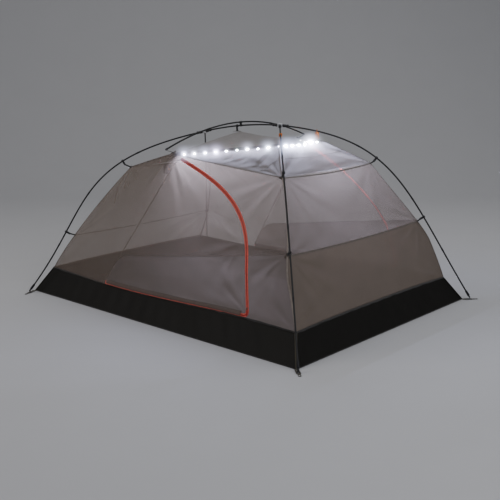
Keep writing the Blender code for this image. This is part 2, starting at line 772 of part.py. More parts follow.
def clip(name, leg, height, fabric):
    """A flat hook round the pole, with a slotted stem towards the fabric."""
    t = at_height(leg, height)
    centre = bezier(leg, t)
    ring = circle_arc(CLIP_OUTER_R, -150)
    inner = circle_arc(CLIP_INNER_R, -150)[::-1]
    # the stem takes the place of the ring's middle point
    loop = ring[:6] + CLIP_STEM + ring[7:] + inner
    obj = outline(name, [loop, CLIP_SLOT], CLIP_HALF_THICK, PLASTIC)
    place(obj, centre, frame_from(bezier_slope(leg, t), Vector(fabric) - centre))


def corner_webbing(corner, leg, side):
    """The strap from under the floor corner out to the pole's eyelet, and its stake loop."""
    floor_x = math.copysign(FLOOR_HALF_LENGTH, leg[0][0])
    eyelet = Vector((leg[0][0], leg[0][1], 0))
    run = eyelet - Vector((floor_x, side * floor_half(floor_x), 0))
    inner_end = -run.length + STRAP_START
    run.normalize()
    turn = frame_from((0, 0, 1), run)
    centre = Vector((eyelet.x, eyelet.y, STRAP_Z))

    half = STRAP_HALF_WIDTH
    loop = [
        (inner_end, -half), (0.016, -half), (0.020, -half + 0.004),
        (0.020, half - 0.004), (0.016, half), (inner_end, half),
    ]
    hole = circle_arc(EYELET_R, 0, 330, 11)
    strap = outline("corner_strap_" + corner, [loop, hole], STRAP_HALF_THICK, WEBBING)
    place(strap, centre, turn)
    stake = outline("stake_loop_" + corner, [STAKE_RING, STAKE_EYE], STAKE_HALF_THICK, WEBBING)
    place(stake, centre + run * STAKE_OFFSET, turn)


def tent_corner(corner, back_leg, mid_clip, upper_clip, side):
    leg = mirrored(back_leg, side)
    leg_poles(corner, leg)
    foot_tip("leg_foot_" + corner, leg)
    for label, (height, fabric) in (("mid", mid_clip), ("upper", upper_clip)):
        clip(f"{label}_clip_{corner}", leg, height, mirrored((fabric,), side)[0])
    corner_webbing(corner, leg, side)


for end_name, end_leg, mid, upper in ENDS:
    for side_name, side in SIDES:
        tent_corner(f"{end_name}_{side_name}", end_leg, mid, upper, side)

# ---------------------------------------------------------------- straps and hook to the poles
STRAP_THICK = 0.0014
BROW_STRAP_ENDS = ((0, 0.6045, 0.9965), (0, 0.6490, 1.0095))    # on the back side
BROW_STRAP_WIDTH = 0.012
TAB_WIDTH = 0.026
TAB_AT = 0.885                  # curve parameter of the tab on the head leg
TAB_BELOW_POLE = 0.0068
TAB_ABOVE_SEAM = 0.0065

HOOK_AT = 0.45                  # share of the ridge pole
HOOK_OUTER_R, HOOK_INNER_R = 0.0088, 0.0054
HOOK_HALF_THICK = 0.006
HOOK_STEM = [(-0.0050, -0.0310), (-0.0010, -0.0310), (-0.0022, -0.0078)]


def strap_between(name, start, end, width, across, base):
    start, end, across = Vector(start), Vector(end), Vector(across).normalized()

    def shape(u, v):
        return start.lerp(end, u) + across * ((v - 0.5) * width)

    sheet(name, shape, 3, 1, STRAP_THICK, base)


def head_tab(name, side):
    """The tab from a head leg to the ceiling's seam corner."""
    leg = mirrored(HEAD_LEG, side)
    on_leg = bezier(leg, TAB_AT) - Vector((0, 0, TAB_BELOW_POLE))
    on_seam = (SEAM_CORNER[0], SEAM_CORNER[1] * side, SEAM_CORNER[2] + TAB_ABOVE_SEAM)
    strap_between(name, on_leg, on_seam, TAB_WIDTH, bezier_slope(leg, TAB_AT), ORANGE)


def ceiling_hook():
    """The open ring round the ridge pole, with a stem down to the ceiling."""
    loop = circle_arc(HOOK_OUTER_R, -75) + HOOK_STEM + circle_arc(HOOK_INNER_R, -75)[::-1]
    hook = outline("ceiling_hook", [loop], HOOK_HALF_THICK, PLASTIC)
    place(hook, ridge(HOOK_AT), frame_from(ridge_slope(HOOK_AT), (0, 1, 0)))


for side_name, side in SIDES:
    inner_end, outer_end = mirrored(BROW_STRAP_ENDS, side)
    strap_between("brow_strap_" + side_name, inner_end, outer_end,
                  BROW_STRAP_WIDTH, (1, 0, 0), WEBBING)
    head_tab("head_tab_" + side_name, side)
ceiling_hook()

# ---------------------------------------------------------------- light string
TAPE_WIDTH = 0.012
TAPE_THICK = 0.002
TAPE_DROP = 0.0115              # from the ceiling surface down to the tape's underside
TAPE_TURN = 0.015               # distance from a corner over which the tape turns
TAPE_END_GAP = 0.001
LED_PITCH = 0.062
LED_COUNT = 25
LED_LENGTH = 0.005
LED_HEIGHT = 0.0025
LEAD_R = 0.0012
LEAD_GAP = 0.0016               # between the tape's end and the lead

BOX_CENTRE = (-0.105, -0.556, 0.886)
BOX_SIZE = (0.038, 0.017, 0.060)

# (x, y) of the front brow corner, the two seam corners by the head hub, the back brow corner
SEAM_X = SEAM_CORNER[0] - 0.004
SEAM_PATH = ((0.020, -0.572), (SEAM_X, -SEAM_CORNER[1]), (SEAM_X, SEAM_CORNER[1]), (0.020, 0.572))
SEAM_LENGTHS = span_lengths(SEAM_PATH)
SEAM_HEADINGS = [direction_between(SEAM_PATH[i], SEAM_PATH[i + 1]) for i in range(3)]


def seam_point(distance, sideways):
    """A point of the tape's underside, by distance along the path and sideways from it."""
    left = min(max(distance, 0.0), sum(SEAM_LENGTHS) - 1e-9)
    i = 0
    while left > SEAM_LENGTHS[i]:
        left -= SEAM_LENGTHS[i]
        i += 1
    # near a corner the tape's edges turn together about it
    heading = other = SEAM_HEADINGS[i]
    turn = 0.0
    to_end = SEAM_LENGTHS[i] - left
    if to_end < TAPE_TURN and i < 2:
        other = SEAM_HEADINGS[i + 1]
        turn = 0.5 * (1 - to_end / TAPE_TURN)
    elif left < TAPE_TURN and i > 0:
        other = SEAM_HEADINGS[i - 1]
        turn = 0.5 * (1 - left / TAPE_TURN)
    facing = unit(lerp_pair(heading, other, turn))
    x = SEAM_PATH[i][0] + heading[0] * left
    y = SEAM_PATH[i][1] + heading[1] * left
    z = roof_z(x, y / eave_half(x)) - TAPE_DROP
    return Vector((x - facing[1] * sideways, y + facing[0] * sideways, z))


def tape_stops():
    """Distances of the tape's cross lines: its two ends and both ends of every LED."""
    total = sum(SEAM_LENGTHS)
    first = (total - LED_PITCH * (LED_COUNT - 1)) / 2
    stops = [0.0]
    for i in range(LED_COUNT):
        middle = first + i * LED_PITCH
        stops += [middle - LED_LENGTH / 2, middle + LED_LENGTH / 2]
    stops.append(total - TAPE_END_GAP)
    return stops


def light_string():
    """The tape with its LEDs standing down from the underside."""
    stops = tape_stops()
    spans = len(stops) - 1
    bm = bmesh.new()
    bmesh.ops.create_grid(bm, x_segments=spans, y_segments=1, size=0.5)
    for vert in bm.verts:
        i = round((vert.co.x + 0.5) * spans)
        vert.co = seam_point(stops[i], vert.co.y * TAPE_WIDTH)
    made = bmesh.ops.extrude_face_region(bm, geom=list(bm.faces))["geom"]
    for vert in (item for item in made if isinstance(item, bmesh.types.BMVert)):
        vert.co.z += TAPE_THICK
    bmesh.ops.recalc_face_normals(bm, faces=bm.faces)
    # the LEDs are the short faces of the underside
    leds = [
        face for face in bm.faces
        if face.normal.z < -0.5
        and min(edge.calc_length() for edge in face.edges) < LED_LENGTH + 0.0006
    ]
    for face in bmesh.ops.extrude_discrete_faces(bm, faces=leds)["faces"]:
        for vert in face.verts:
            vert.co.z -= LED_HEIGHT
    bmesh.ops.recalc_face_normals(bm, faces=bm.faces)
    add("light_string", mesh_from(bm, "light_string"), LIGHT)


def light_lead():
    """The lead from beside the tape's front end down to the top of the battery case."""
    heading = SEAM_HEADINGS[0]
    beside = Vector((-heading[0] * LEAD_GAP, -heading[1] * LEAD_GAP, TAPE_THICK / 2))
    start = seam_point(0.0, 0.0) + beside
    top = Vector(BOX_CENTRE) + Vector((0, 0, BOX_SIZE[2] / 2 + 0.0005))
    leave = start + Vector((-0.045, -0.001, -0.001))
    arrive = top + Vector((0, 0, 0.045))
    points = [bezier((start, leave, arrive, top), i / 10) for i in range(11)]
    rod("light_lead", points, LEAD_R, WEBBING)


light_string()
light_lead()

# ---------------------------------------------------------------- battery case and its contents
BOX_WALL = 0.002
BUTTON_R, BUTTON_LENGTH = 0.0045, 0.0034
BUTTON_OUT = 0.0001             # button's centre outside the case's +X face
BUTTON_Y = 0.001                # from the case's centre
BUTTON_HOLE_R, BUTTON_HOLE_DEPTH = 0.0050, 0.010
LID_THICK = 0.0024
LID_GAP = 0.0004
CELL_R, CELL_LENGTH = 0.0051, 0.0445
CELL_PITCH = 0.0107
CELL_SHIFT = (0.0, 0.0012, 0.001)   # middle cell from the case's centre
STRIP_SIZE = (0.028, 0.006, 0.0016)
STRIP_BELOW = 0.0226            # under the cells' centre


def from_box(x, y, z):
    """A position given from the case's centre."""
    return (BOX_CENTRE[0] + x, BOX_CENTRE[1] + y, BOX_CENTRE[2] + z)


def battery_case():
    """The case, hollow and open towards +Y, with a round button in its +X side."""
    width, depth, height = BOX_SIZE
    sideways = Matrix.Rotation(math.pi / 2, 4, "Y")
    case = add("battery_case", box_mesh("battery_case", BOX_SIZE), CASE)
    place(case, BOX_CENTRE)
    hollow = box_mesh("case_inside", (width - 2 * BOX_WALL, depth, height - 2 * BOX_WALL))
    combine(case, "DIFFERENCE", hollow, "case_inside", from_box(0, BOX_WALL, 0))
    hole = cylinder_mesh("button_hole", BUTTON_HOLE_R, BUTTON_HOLE_DEPTH, 20)
    combine(case, "DIFFERENCE", hole, "button_hole", from_box(width / 2, BUTTON_Y, 0), sideways)
    mesh = cylinder_mesh("light_button", BUTTON_R, BUTTON_LENGTH, 20)
    button = add("light_button", mesh, ORANGE, smooth=True)
    place(button, from_box(width / 2 + BUTTON_OUT, BUTTON_Y, 0), sideways)


def battery_lid():
    """The lid on the case's +Y side, with its origin on its lower inner edge."""
    width, depth, height = BOX_SIZE
    lid = add("battery_lid", box_mesh("battery_lid", (width, LID_THICK, height)), CASE)
    for vert in lid.data.vertices:
        vert.co += Vector((0, LID_THICK / 2, height / 2))
    place(lid, from_box(0, depth / 2 + LID_GAP, -height / 2))


def battery_cells():
    """Three cells side by side, tied by the contact strip at their lower end."""
    x, y, z = CELL_SHIFT
    mesh = cylinder_mesh("battery_cells", CELL_R, CELL_LENGTH, 14)
    cells = add("battery_cells", mesh, CELL, smooth=True)
    place(cells, from_box(x, y, z))
    for i, shift in enumerate((-CELL_PITCH, CELL_PITCH)):
        name = f"cell_{i}"
        cell = cylinder_mesh(name, CELL_R, CELL_LENGTH, 14)
        combine(cells, "UNION", cell, name, from_box(x + shift, y, z))
    strip = box_mesh("contact_strip", STRIP_SIZE)
    combine(cells, "UNION", strip, "contact_strip", from_box(x, y, z - STRIP_BELOW))


battery_case()
battery_lid()
battery_cells()

# ---------------------------------------------------------------- zip sliders and their pulls
SLIDER_UP = 0.046               # along the straight run, above the zip corner
SLIDER_SIZE = (0.016, 0.010, 0.0030)
SLIDER_OUT = 0.0036             # centres' distances out from the wall surface
CROWN_SIZE = (0.009, 0.0040, 0.0030)
CROWN_OUT = 0.0062
PULL_SIZE = (0.034, 0.0080, 0.0014)
PULL_OUT = 0.0066
PULL_BELOW = 0.0062             # pull's origin below the slider's centre
PULL_GAP = 0.0004               # from the pull's origin to its upper end
PULL_BEVEL = 0.0004


def slider(name, side):
    """Outer plate of a slider with a crown, and its pull, on the straight run of the zip."""
    x, z = (ZIP_CORNER[k] - ZIP_DOWN[k] * SLIDER_UP for k in (0, 1))
    point = Vector(on_wall((x, z), side))
    above = Vector(on_wall((x - ZIP_DOWN[0] * 0.1, z - ZIP_DOWN[1] * 0.1), side))
    beside = Vector(on_wall((x + 0.05, z), side))
    up = (above - point).normalized()
    out = (beside - point).cross(up).normalized()
    if out.y * side < 0:
        out = -out
    turn = frame_from(out, up)

    body = add(name + "_slider", box_mesh("slider", SLIDER_SIZE), HUB)
    place(body, point + out * SLIDER_OUT, turn)
    crown = box_mesh("crown", CROWN_SIZE)
    combine(body, "UNION", crown, name + "_crown", point + out * CROWN_OUT, turn)

    pull = add(name + "_pull", box_mesh("pull", PULL_SIZE), ZIP)
    for vert in pull.data.vertices:
        vert.co.x -= PULL_SIZE[0] / 2 + PULL_GAP
    place(pull, point + out * PULL_OUT - up * PULL_BELOW, turn)
    bevel = pull.modifiers.new("edge", "BEVEL")
    bevel.width = PULL_BEVEL
    bevel.segments = 1


for side_name, side in SIDES:
    slider(side_name, side)
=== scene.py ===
"""Looks of the dome tent body with its light string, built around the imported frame.

Metres, +Z up, +X to the head end, -Y the front door side, as in the frame. The tent
stands on z = 0, centred on the origin, and its back half mirrors its front half.
"""

import math
from collections import namedtuple

import bmesh
import bpy
import numpy as np
from mathutils import Matrix, Vector
from mathutils.geometry import delaunay_2d_cdt


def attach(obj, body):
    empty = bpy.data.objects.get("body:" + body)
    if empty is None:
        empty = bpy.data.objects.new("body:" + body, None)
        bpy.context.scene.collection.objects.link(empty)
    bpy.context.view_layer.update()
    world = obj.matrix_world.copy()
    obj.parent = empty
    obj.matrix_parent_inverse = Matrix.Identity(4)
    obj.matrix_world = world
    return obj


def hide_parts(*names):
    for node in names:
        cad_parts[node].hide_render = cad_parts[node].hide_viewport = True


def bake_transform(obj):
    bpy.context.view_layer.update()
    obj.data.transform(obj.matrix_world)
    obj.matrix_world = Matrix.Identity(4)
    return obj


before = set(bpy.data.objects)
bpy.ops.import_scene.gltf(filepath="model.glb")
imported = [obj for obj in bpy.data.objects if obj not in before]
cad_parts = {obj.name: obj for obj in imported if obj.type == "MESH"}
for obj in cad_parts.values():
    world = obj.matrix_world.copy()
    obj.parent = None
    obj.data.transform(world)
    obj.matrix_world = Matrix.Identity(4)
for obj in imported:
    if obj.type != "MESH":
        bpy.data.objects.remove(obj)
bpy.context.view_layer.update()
PI = math.pi
SCENE = bpy.context.scene

# ---------------------------------------------------------------- dimensions of the tent
FLOOR_HALF_LENGTH = 1.145
FLOOR_HALF_WIDTH_MID = 0.841
FLOOR_TAPER = 0.0314
TUB_HALF_LENGTH = 1.058
TUB_HALF_WIDTH_MID = 0.742
TUB_TAPER = 0.0312
TUB_TOP = 0.147
TUB_EDGE_Z = 0.149  # where the corner edges of the walls start
DOOR_CORNER_Y = 0.598
DOOR_CORNER_Z = 0.991
HEAD_MID = (0.912, 0.666, 0.518)  # clip points of the fabric on the +Y side
HEAD_UP = (0.692, 0.440, 0.891)
FOOT_MID = (-0.907, 0.632, 0.386)
FOOT_UP = (-0.640, 0.368, 0.836)
CEILING_PEAK = 1.084
SEAM_CORNER = (0.467, 0.184, 1.043)
GABLE_MID_Z = 1.037  # middle of the ceiling between the seam corners
CREASE_SHARE = 0.375  # share of the half width at which the crease meets a seam corner
POLE_R = 0.0048
HINGE_LOW_X = -0.505
HINGE_TOP = (0.025, 0.945)
ZIP_START = (0.067, 0.962)
ZIP_BEND = (0.677, 0.377)
ZIP_CORNER = (0.716, 0.165)
ZIP_HALF = 0.0105
ZIP_ABOVE_TUB = 0.012
ZIP_CORNER_R = 0.035

# How the long walls bend inwards from their leaning plane, towards each end.
WALL_LEAN = 0.171
HEAD_BEND_X, HEAD_BEND_Z, HEAD_BEND_DEPTH = 0.03, 0.403, 0.1967
FOOT_BEND_Z, FOOT_BEND_DEPTH, FOOT_BEND_REACH = 0.186, 0.238, 0.5876
FOOT_BEND_LINE_Z = 0.163  # the foot bend starts at a line from here up to the hinge's top

# Control points of the cubic curves of the poles on the +Y side, from the ground to the hub.
HEAD_LEG = ((1.179, 0.908, 0.015), (0.852, 0.591, 0.733), (0.794, 0.577, 1.049),
            (0.317, 0.0, 1.135))
FOOT_LEG = ((-1.124, 0.861, 0.015), (-0.827, 0.545, 0.574), (-0.916, 0.639, 0.878),
            (-0.315, 0.0, 1.063))
RIDGE_MID_Z = 1.117
BROW_Z = 1.139
BROW_TIP_Y = 0.657
BROW_TIP_Z = 1.018
POLE_JOIN_Z = 0.640
HOOK_AT = 0.45  # share of the ridge pole

TAPE_WIDTH = 0.012
TAPE_THICK = 0.002
LED_PITCH = 0.062
LED_COUNT = 25
BOX_CENTRE = (-0.105, -0.556, 0.886)
BOX_SIZE = (0.038, 0.017, 0.060)
LID_THICK = 0.0024
CELL_R = 0.0051

# (x, z) stations of the corner edge of a long wall
HEAD_EDGE = ((TUB_HALF_LENGTH, TUB_EDGE_Z), (HEAD_MID[0], HEAD_MID[2]), (HEAD_UP[0], HEAD_UP[2]))
FOOT_EDGE = ((-TUB_HALF_LENGTH, TUB_EDGE_Z), (FOOT_MID[0], FOOT_MID[2]), (FOOT_UP[0], FOOT_UP[2]))

End = namedtuple("End", "name sign leg edge mid up mid_clip_z upper_clip_z crown_sag")
HEAD = End("head", 1, HEAD_LEG, HEAD_EDGE, HEAD_MID, HEAD_UP, 0.546, 0.925, 0.014)
FOOT = End("foot", -1, FOOT_LEG, FOOT_EDGE, FOOT_MID, FOOT_UP, 0.409, 0.873, 0.010)

# The wall functions take side, 1 for the front wall; elsewhere y_sign is the sign of Y.
WALLS = (("front", 1), ("back", -1))
Y_SIGNS = (("front", -1), ("back", 1))
CORNERS = [(f"{end.name}_{place}", end, y_sign) for end in (HEAD, FOOT) for place, y_sign in Y_SIGNS]


# ---------------------------------------------------------------- plain helpers
def lerp(start, end, share):
    return start + (end - start) * share


def smooth(low, high, value):
    share = min(1.0, max(0.0, (value - low) / (high - low)))
    return share * share * (3 - 2 * share)


def bezier(controls, share):
    first, second, third, last = (Vector(spot) for spot in controls)
    rest = 1 - share
    return (first * rest**3 + second * 3 * rest**2 * share
            + third * 3 * rest * share * share + last * share**3)


def bezier_slope(controls, share):
    first, second, third, last = (Vector(spot) for spot in controls)
    rest = 1 - share
    return ((second - first) * rest**2 + (third - second) * 2 * rest * share
            + (last - third) * share * share).normalized()


def at_height(controls, z):
    """Share along a leg at which it reaches a height."""
    low, high = 0.0, 0.85
    for _ in range(40):
        middle = (low + high) / 2
        if bezier(controls, middle).z < z:
            low = middle
        else:
            high = middle
    return (low + high) / 2


def mirrored(controls, y_sign):
    return tuple((x, y * y_sign, z) for x, y, z in controls)


def unit(vector):
    length = math.hypot(vector[0], vector[1])
    return (vector[0] / length, vector[1] / length)


def frame_from(z_axis, x_hint):
    """Rotation whose Z is z_axis and whose X is as near to x_hint as it can be."""
    z = Vector(z_axis).normalized()
    x = Vector(x_hint) - z * Vector(x_hint).dot(z)
    x.normalize()
    return Matrix((x, z.cross(x), z)).transposed().to_4x4()


# ---------------------------------------------------------------- the fabric surfaces
def tub_top(x, y=None):
    z = TUB_TOP + 0.011 * math.sin(PI * (x - 0.2))
    if y is not None and abs(x) > TUB_HALF_LENGTH - 0.02:
        z += 0.010 * (1 - min(1.0, abs(y) / 0.74) ** 3)
    return z


def tub_width(x):
    return TUB_HALF_WIDTH_MID + TUB_TAPER * x


def floor_width(x):
    return FLOOR_HALF_WIDTH_MID + FLOOR_TAPER * x


def quadratic(z, stations):
    """X at a height on the parabola through three (x, z) stations."""
    total = 0.0
    for i, (x, own_z) in enumerate(stations):
        share = 1.0
        for j, (_, other_z) in enumerate(stations):
            if i != j:
                share *= (z - other_z) / (own_z - other_z)
        total += share * x
    return total


def wall_y(x, z):
    """Y of the front wall."""
    plane = -tub_width(x) + WALL_LEAN * (z - TUB_EDGE_Z)
    head_bend = foot_bend = 0.0
    if x > HEAD_BEND_X and z > HEAD_BEND_Z:
        along = (x - HEAD_BEND_X) / (HEAD_UP[0] - HEAD_BEND_X)
        up = (z - HEAD_BEND_Z) / (HEAD_UP[2] - HEAD_BEND_Z)
        head_bend = HEAD_BEND_DEPTH * along**1.5 * up**1.4
    rise = (z - FOOT_BEND_LINE_Z) / (HINGE_TOP[1] - FOOT_BEND_LINE_Z)
    beyond = HINGE_LOW_X + (HINGE_TOP[0] - HINGE_LOW_X) * rise - x
    if beyond > 0 and z > FOOT_BEND_Z:
        up = (z - FOOT_BEND_Z) / (FOOT_UP[2] - FOOT_BEND_Z)
        foot_bend = FOOT_BEND_DEPTH * (beyond / FOOT_BEND_REACH) ** 1.5 * up**1.6
    return plane + max(head_bend, foot_bend)


def eave(x):
    """Height of the edge between a long wall and the ceiling."""
    up = HEAD_UP if x > 0 else FOOT_UP
    return DOOR_CORNER_Z - (DOOR_CORNER_Z - up[2]) * x / up[0]


def roof_z(x, across):
    """Ceiling height at a share of the half width."""
    across = abs(across)
    edge = eave(x)
    if x <= 0:
        share = x / FOOT_UP[0]
        middle = CEILING_PEAK - (CEILING_PEAK - FOOT_UP[2]) * share**1.25
        return edge + (middle - edge) * (1 - across) ** lerp(1.45, 0.9, share)
    if x < SEAM_CORNER[0]:
        share = x / SEAM_CORNER[0]
        crease = lerp(1.0, CREASE_SHARE, share)
        crease_z = lerp(DOOR_CORNER_Z, SEAM_CORNER[2], share)
        middle = lerp(CEILING_PEAK, GABLE_MID_Z, share**0.8)
    else:
        share = (x - SEAM_CORNER[0]) / (HEAD_UP[0] - SEAM_CORNER[0])
        crease = lerp(CREASE_SHARE, 1.0, share)
        crease_z = lerp(SEAM_CORNER[2], HEAD_UP[2], share)
        middle = lerp(GABLE_MID_Z, HEAD_UP[2] - 0.004, share)
    if across < crease:
        return crease_z + (middle - crease_z) * (1 - across / crease) ** 1.45
    return lerp(crease_z, edge, (across - crease) / max(1e-6, 1 - crease))


def roof_crease(x):
    """Share of the half width at which the mesh follows a crease."""
    if x <= 0:
        return lerp(0.985, 0.70, x / FOOT_UP[0])
    if x < SEAM_CORNER[0]:
        return min(0.985, lerp(1.0, CREASE_SHARE, x / SEAM_CORNER[0]))
    share = (x - SEAM_CORNER[0]) / (HEAD_UP[0] - SEAM_CORNER[0])
    return min(0.985, lerp(CREASE_SHARE, 1.0, share))


CREASE_ROW = 0.6  # the row coordinate that lies on the crease


def roof_at(x, across):
    """A ceiling point; across is a row coordinate from -1 to 1."""
    half = -wall_y(x, eave(x))
    crease = roof_crease(x)
    row = abs(across)
    if row <= CREASE_ROW:
        share = row / 0.6 * crease
    else:
        share = lerp(crease, 1.0, (row - CREASE_ROW) / 0.4)
    return (x, half * math.copysign(share, across), roof_z(x, share) + 0.001)


ZIP_DOWN = unit((ZIP_CORNER[0] - ZIP_BEND[0], ZIP_CORNER[1] - ZIP_BEND[1]))


def zip_line():
    """The zip's centre line as (x, z) points, and the index of the middle of its corner."""
    first = ZIP_START
    second = (ZIP_START[0] + 0.43 * 0.93, ZIP_START[1] - 0.43 * 0.36)
    third = (ZIP_BEND[0] - 0.26 * ZIP_DOWN[0], ZIP_BEND[1] - 0.26 * ZIP_DOWN[1])
    points = []
    for i in range(71):
        share = i / 70
        points.append(tuple(
            first[k] * (1 - share) ** 3 + 3 * second[k] * (1 - share) ** 2 * share
            + 3 * third[k] * (1 - share) * share * share + ZIP_BEND[k] * share**3
            for k in (0, 1)
        ))
    low = tub_top(ZIP_CORNER[0]) + ZIP_ABOVE_TUB
    foot = (ZIP_BEND[0] + ZIP_DOWN[0] * (ZIP_BEND[1] - low) / -ZIP_DOWN[1], low)
    start = (foot[0] - ZIP_DOWN[0] * ZIP_CORNER_R, foot[1] - ZIP_DOWN[1] * ZIP_CORNER_R)
    for i in range(1, 14):
        points.append((lerp(ZIP_BEND[0], start[0], i / 14), lerp(ZIP_BEND[1], start[1], i / 14)))
    corner_index = len(points) + 5
    sill_x = foot[0] - ZIP_CORNER_R
    end = (sill_x, tub_top(sill_x) + ZIP_ABOVE_TUB)
    for i in range(11):
        share = i / 10
        points.append(tuple(
            start[k] * (1 - share) ** 2 + 2 * foot[k] * (1 - share) * share + end[k] * share * share
            for k in (0, 1)
        ))
    for i in range(1, 97):
        x = lerp(sill_x, HINGE_LOW_X, i / 96)
        points.append((x, tub_top(x) + ZIP_ABOVE_TUB))
    return points, corner_index


ZIP_POINTS, CORNER_INDEX = zip_line()


def zip_offset(distance):
    """The zip line moved sideways; a positive distance is away from the door."""
    line = []
    for i, point in enumerate(ZIP_POINTS):
        before = ZIP_POINTS[max(0, i - 1)]
        after = ZIP_POINTS[min(len(ZIP_POINTS) - 1, i + 1)]
        direction = unit((after[0] - before[0], after[1] - before[1]))
        line.append((point[0] - direction[1] * distance, point[1] + direction[0] * distance))
    return line


HINGE_LOW = (HINGE_LOW_X, zip_offset(-0.0120)[-1][1])


def on_wall(point, side):
    """The point of a long wall at (x, z)."""
    x, z = point
    return Vector((x, side * wall_y(x, z), z))


def ridge_controls():
    first, last = Vector(FOOT_LEG[3]), Vector(HEAD_LEG[3])
    return first, Vector((0.0, 0.0, 2 * RIDGE_MID_Z - (first.z + last.z) / 2)), last


def ridge(share):
    """A point of the ridge pole, from the foot hub to the head hub."""
    first, middle, last = ridge_controls()
    rest = 1 - share
    return first * rest**2 + middle * 2 * rest * share + last * share * share


def ridge_slope(share):
    first, middle, last = ridge_controls()
    return ((middle - first) * (1 - share) + (last - middle) * share).normalized()


def brow(y):
    """A point of the brow pole, which crosses over the ridge pole."""
    return Vector((0.0, y, BROW_Z - (BROW_Z - BROW_TIP_Z) * (y / BROW_TIP_Y) ** 2))


# ---------------------------------------------------------------- shader node helpers
def feed(slot, value):
    """Links a socket to an input, or sets the input's value."""
    if isinstance(value, bpy.types.NodeSocket):
        slot.id_data.links.new(value, slot)
    else:
        slot.default_value = value


def node(tree, kind, values=None, **props):
    made = tree.nodes.new("ShaderNode" + kind)
    for key, value in props.items():
        setattr(made, key, value)
    for key, value in (values or {}).items():
        feed(made.inputs[key], value)
    return made


def calc(tree, operation, first, second=0.0, clamp=False):
    made = node(tree, "Math", operation=operation, use_clamp=clamp)
    for slot, value in zip(made.inputs, (first, second, 0.0)):
        feed(slot, value)
    return made.outputs[0]


def times(tree, first, second, clamp=False):
    return calc(tree, "MULTIPLY", first, second, clamp)


def plus(tree, first, second, clamp=False):
    return calc(tree, "ADD", first, second, clamp)


def noise(tree, vector, scale, detail=2.0, roughness=0.5):
    values = {"Vector": vector, "Scale": scale, "Detail": detail, "Roughness": roughness}
    return node(tree, "TexNoise", values).outputs[0]


def to_range(tree, value, low, high):
    return node(tree, "MapRange", {"Value": value, "To Min": low, "To Max": high}).outputs[0]


def scaled(tree, colour, factor):
    return node(tree, "VectorMath", {0: colour, "Scale": factor}, operation="SCALE").outputs[0]


def mix_colour(tree, factor, colour, other):
    made = node(tree, "Mix", data_type="RGBA")
    feed(made.inputs[0], factor)
    feed(made.inputs[6], colour)
    feed(made.inputs[7], (*other, 1))
    return made.outputs[2]


def periodic(tree, value, period):
    return calc(tree, "SINE", times(tree, value, 2 * PI / period))


def grid_lines(tree, along, across, period, width):
    """1 on thin lines every period metres both ways."""
    lines = []
    for value in (along, across):
        share = calc(tree, "FRACT", calc(tree, "DIVIDE", value, period))
        lines.append(calc(tree, "LESS_THAN", share, width / period))
    return calc(tree, "MAXIMUM", *lines)


def uv_axes(tree, coords):
    split = node(tree, "SeparateXYZ", {0: coords.outputs["UV"]})
    return split.outputs[0], split.outputs[1]


def bump_map(tree, strength, distance, height):
    values = {"Strength": strength, "Distance": distance, "Height": height}
    return node(tree, "Bump", values).outputs[0]


def start_material(name):
    made = bpy.data.materials.new(name)
    made.use_nodes = True
    made.node_tree.nodes.clear()
    return made, made.node_tree


def finish_material(made, shader, colour=None):
    tree = made.node_tree
    tree.links.new(shader, node(tree, "OutputMaterial").inputs["Surface"])
    if colour:
        made.diffuse_color = (*colour, 1.0)
    return made


# ---------------------------------------------------------------- materials
def fabric(name, colour, *, weave, rough, sheen, translucent, variation, bump,
           opacity=1.0, ripstop=0.0, coat=0.0, specular=0.35):
    """Woven cloth. weave and ripstop are periods in metres; opacity below 1 lets light between
    the threads, less so at grazing angles."""
    made, tree = start_material(name)
    coords = node(tree, "TexCoord")
    along, across = uv_axes(tree, coords)
    threads = times(tree, periodic(tree, along, weave), periodic(tree, across, weave * 1.15))
    height = times(tree, threads, 0.5)
    if ripstop:
        lines = grid_lines(tree, along, across, ripstop, ripstop * 0.14)
        height = plus(tree, height, times(tree, lines, 1.2))
    place = coords.outputs["Object"]
    soft = noise(tree, place, scale=7.0, detail=4.0, roughness=0.6)
    slub = noise(tree, place, scale=700.0, detail=2.0, roughness=0.7)
    grain = plus(tree, times(tree, soft, 0.72), times(tree, slub, 0.28))
    spread = variation * 2.2
    base = scaled(tree, colour, to_range(tree, grain, 1 - spread, 1 + spread))
    if ripstop:
        base = scaled(tree, base, plus(tree, 1.0, times(tree, lines, 0.18)))
    relief = bump_map(tree, bump, weave * 0.6, height)
    cloth = node(tree, "BsdfPrincipled", {
        "Base Color": base, "Roughness": plus(tree, rough - 0.08, times(tree, grain, 0.16)),
        "Normal": relief, "Sheen Weight": sheen, "Sheen Roughness": 0.45,
        "Coat Weight": coat, "Coat Roughness": 0.35, "Specular IOR Level": specular,
    }).outputs[0]
    if translucent:
        through = node(tree, "BsdfTranslucent", {"Color": base, "Normal": relief}).outputs[0]
        cloth = node(tree, "MixShader", {0: translucent, 1: cloth, 2: through}).outputs[0]
    if opacity < 1.0:
        # the cloth is two layers thick, so each layer covers less than the whole
        face = 1 - math.sqrt(1 - opacity)
        edge = node(tree, "LayerWeight", {"Blend": 0.5}).outputs["Facing"]
        grazing = times(tree, calc(tree, "POWER", edge, 2.2), (1 - face) * 0.55)
        share = plus(tree, face, grazing, clamp=True)
        clear = node(tree, "BsdfTransparent", {"Color": (1, 1, 1, 1)}).outputs[0]
        cloth = node(tree, "MixShader", {0: share, 1: clear, 2: cloth}).outputs[0]
    return finish_material(made, cloth, colour)


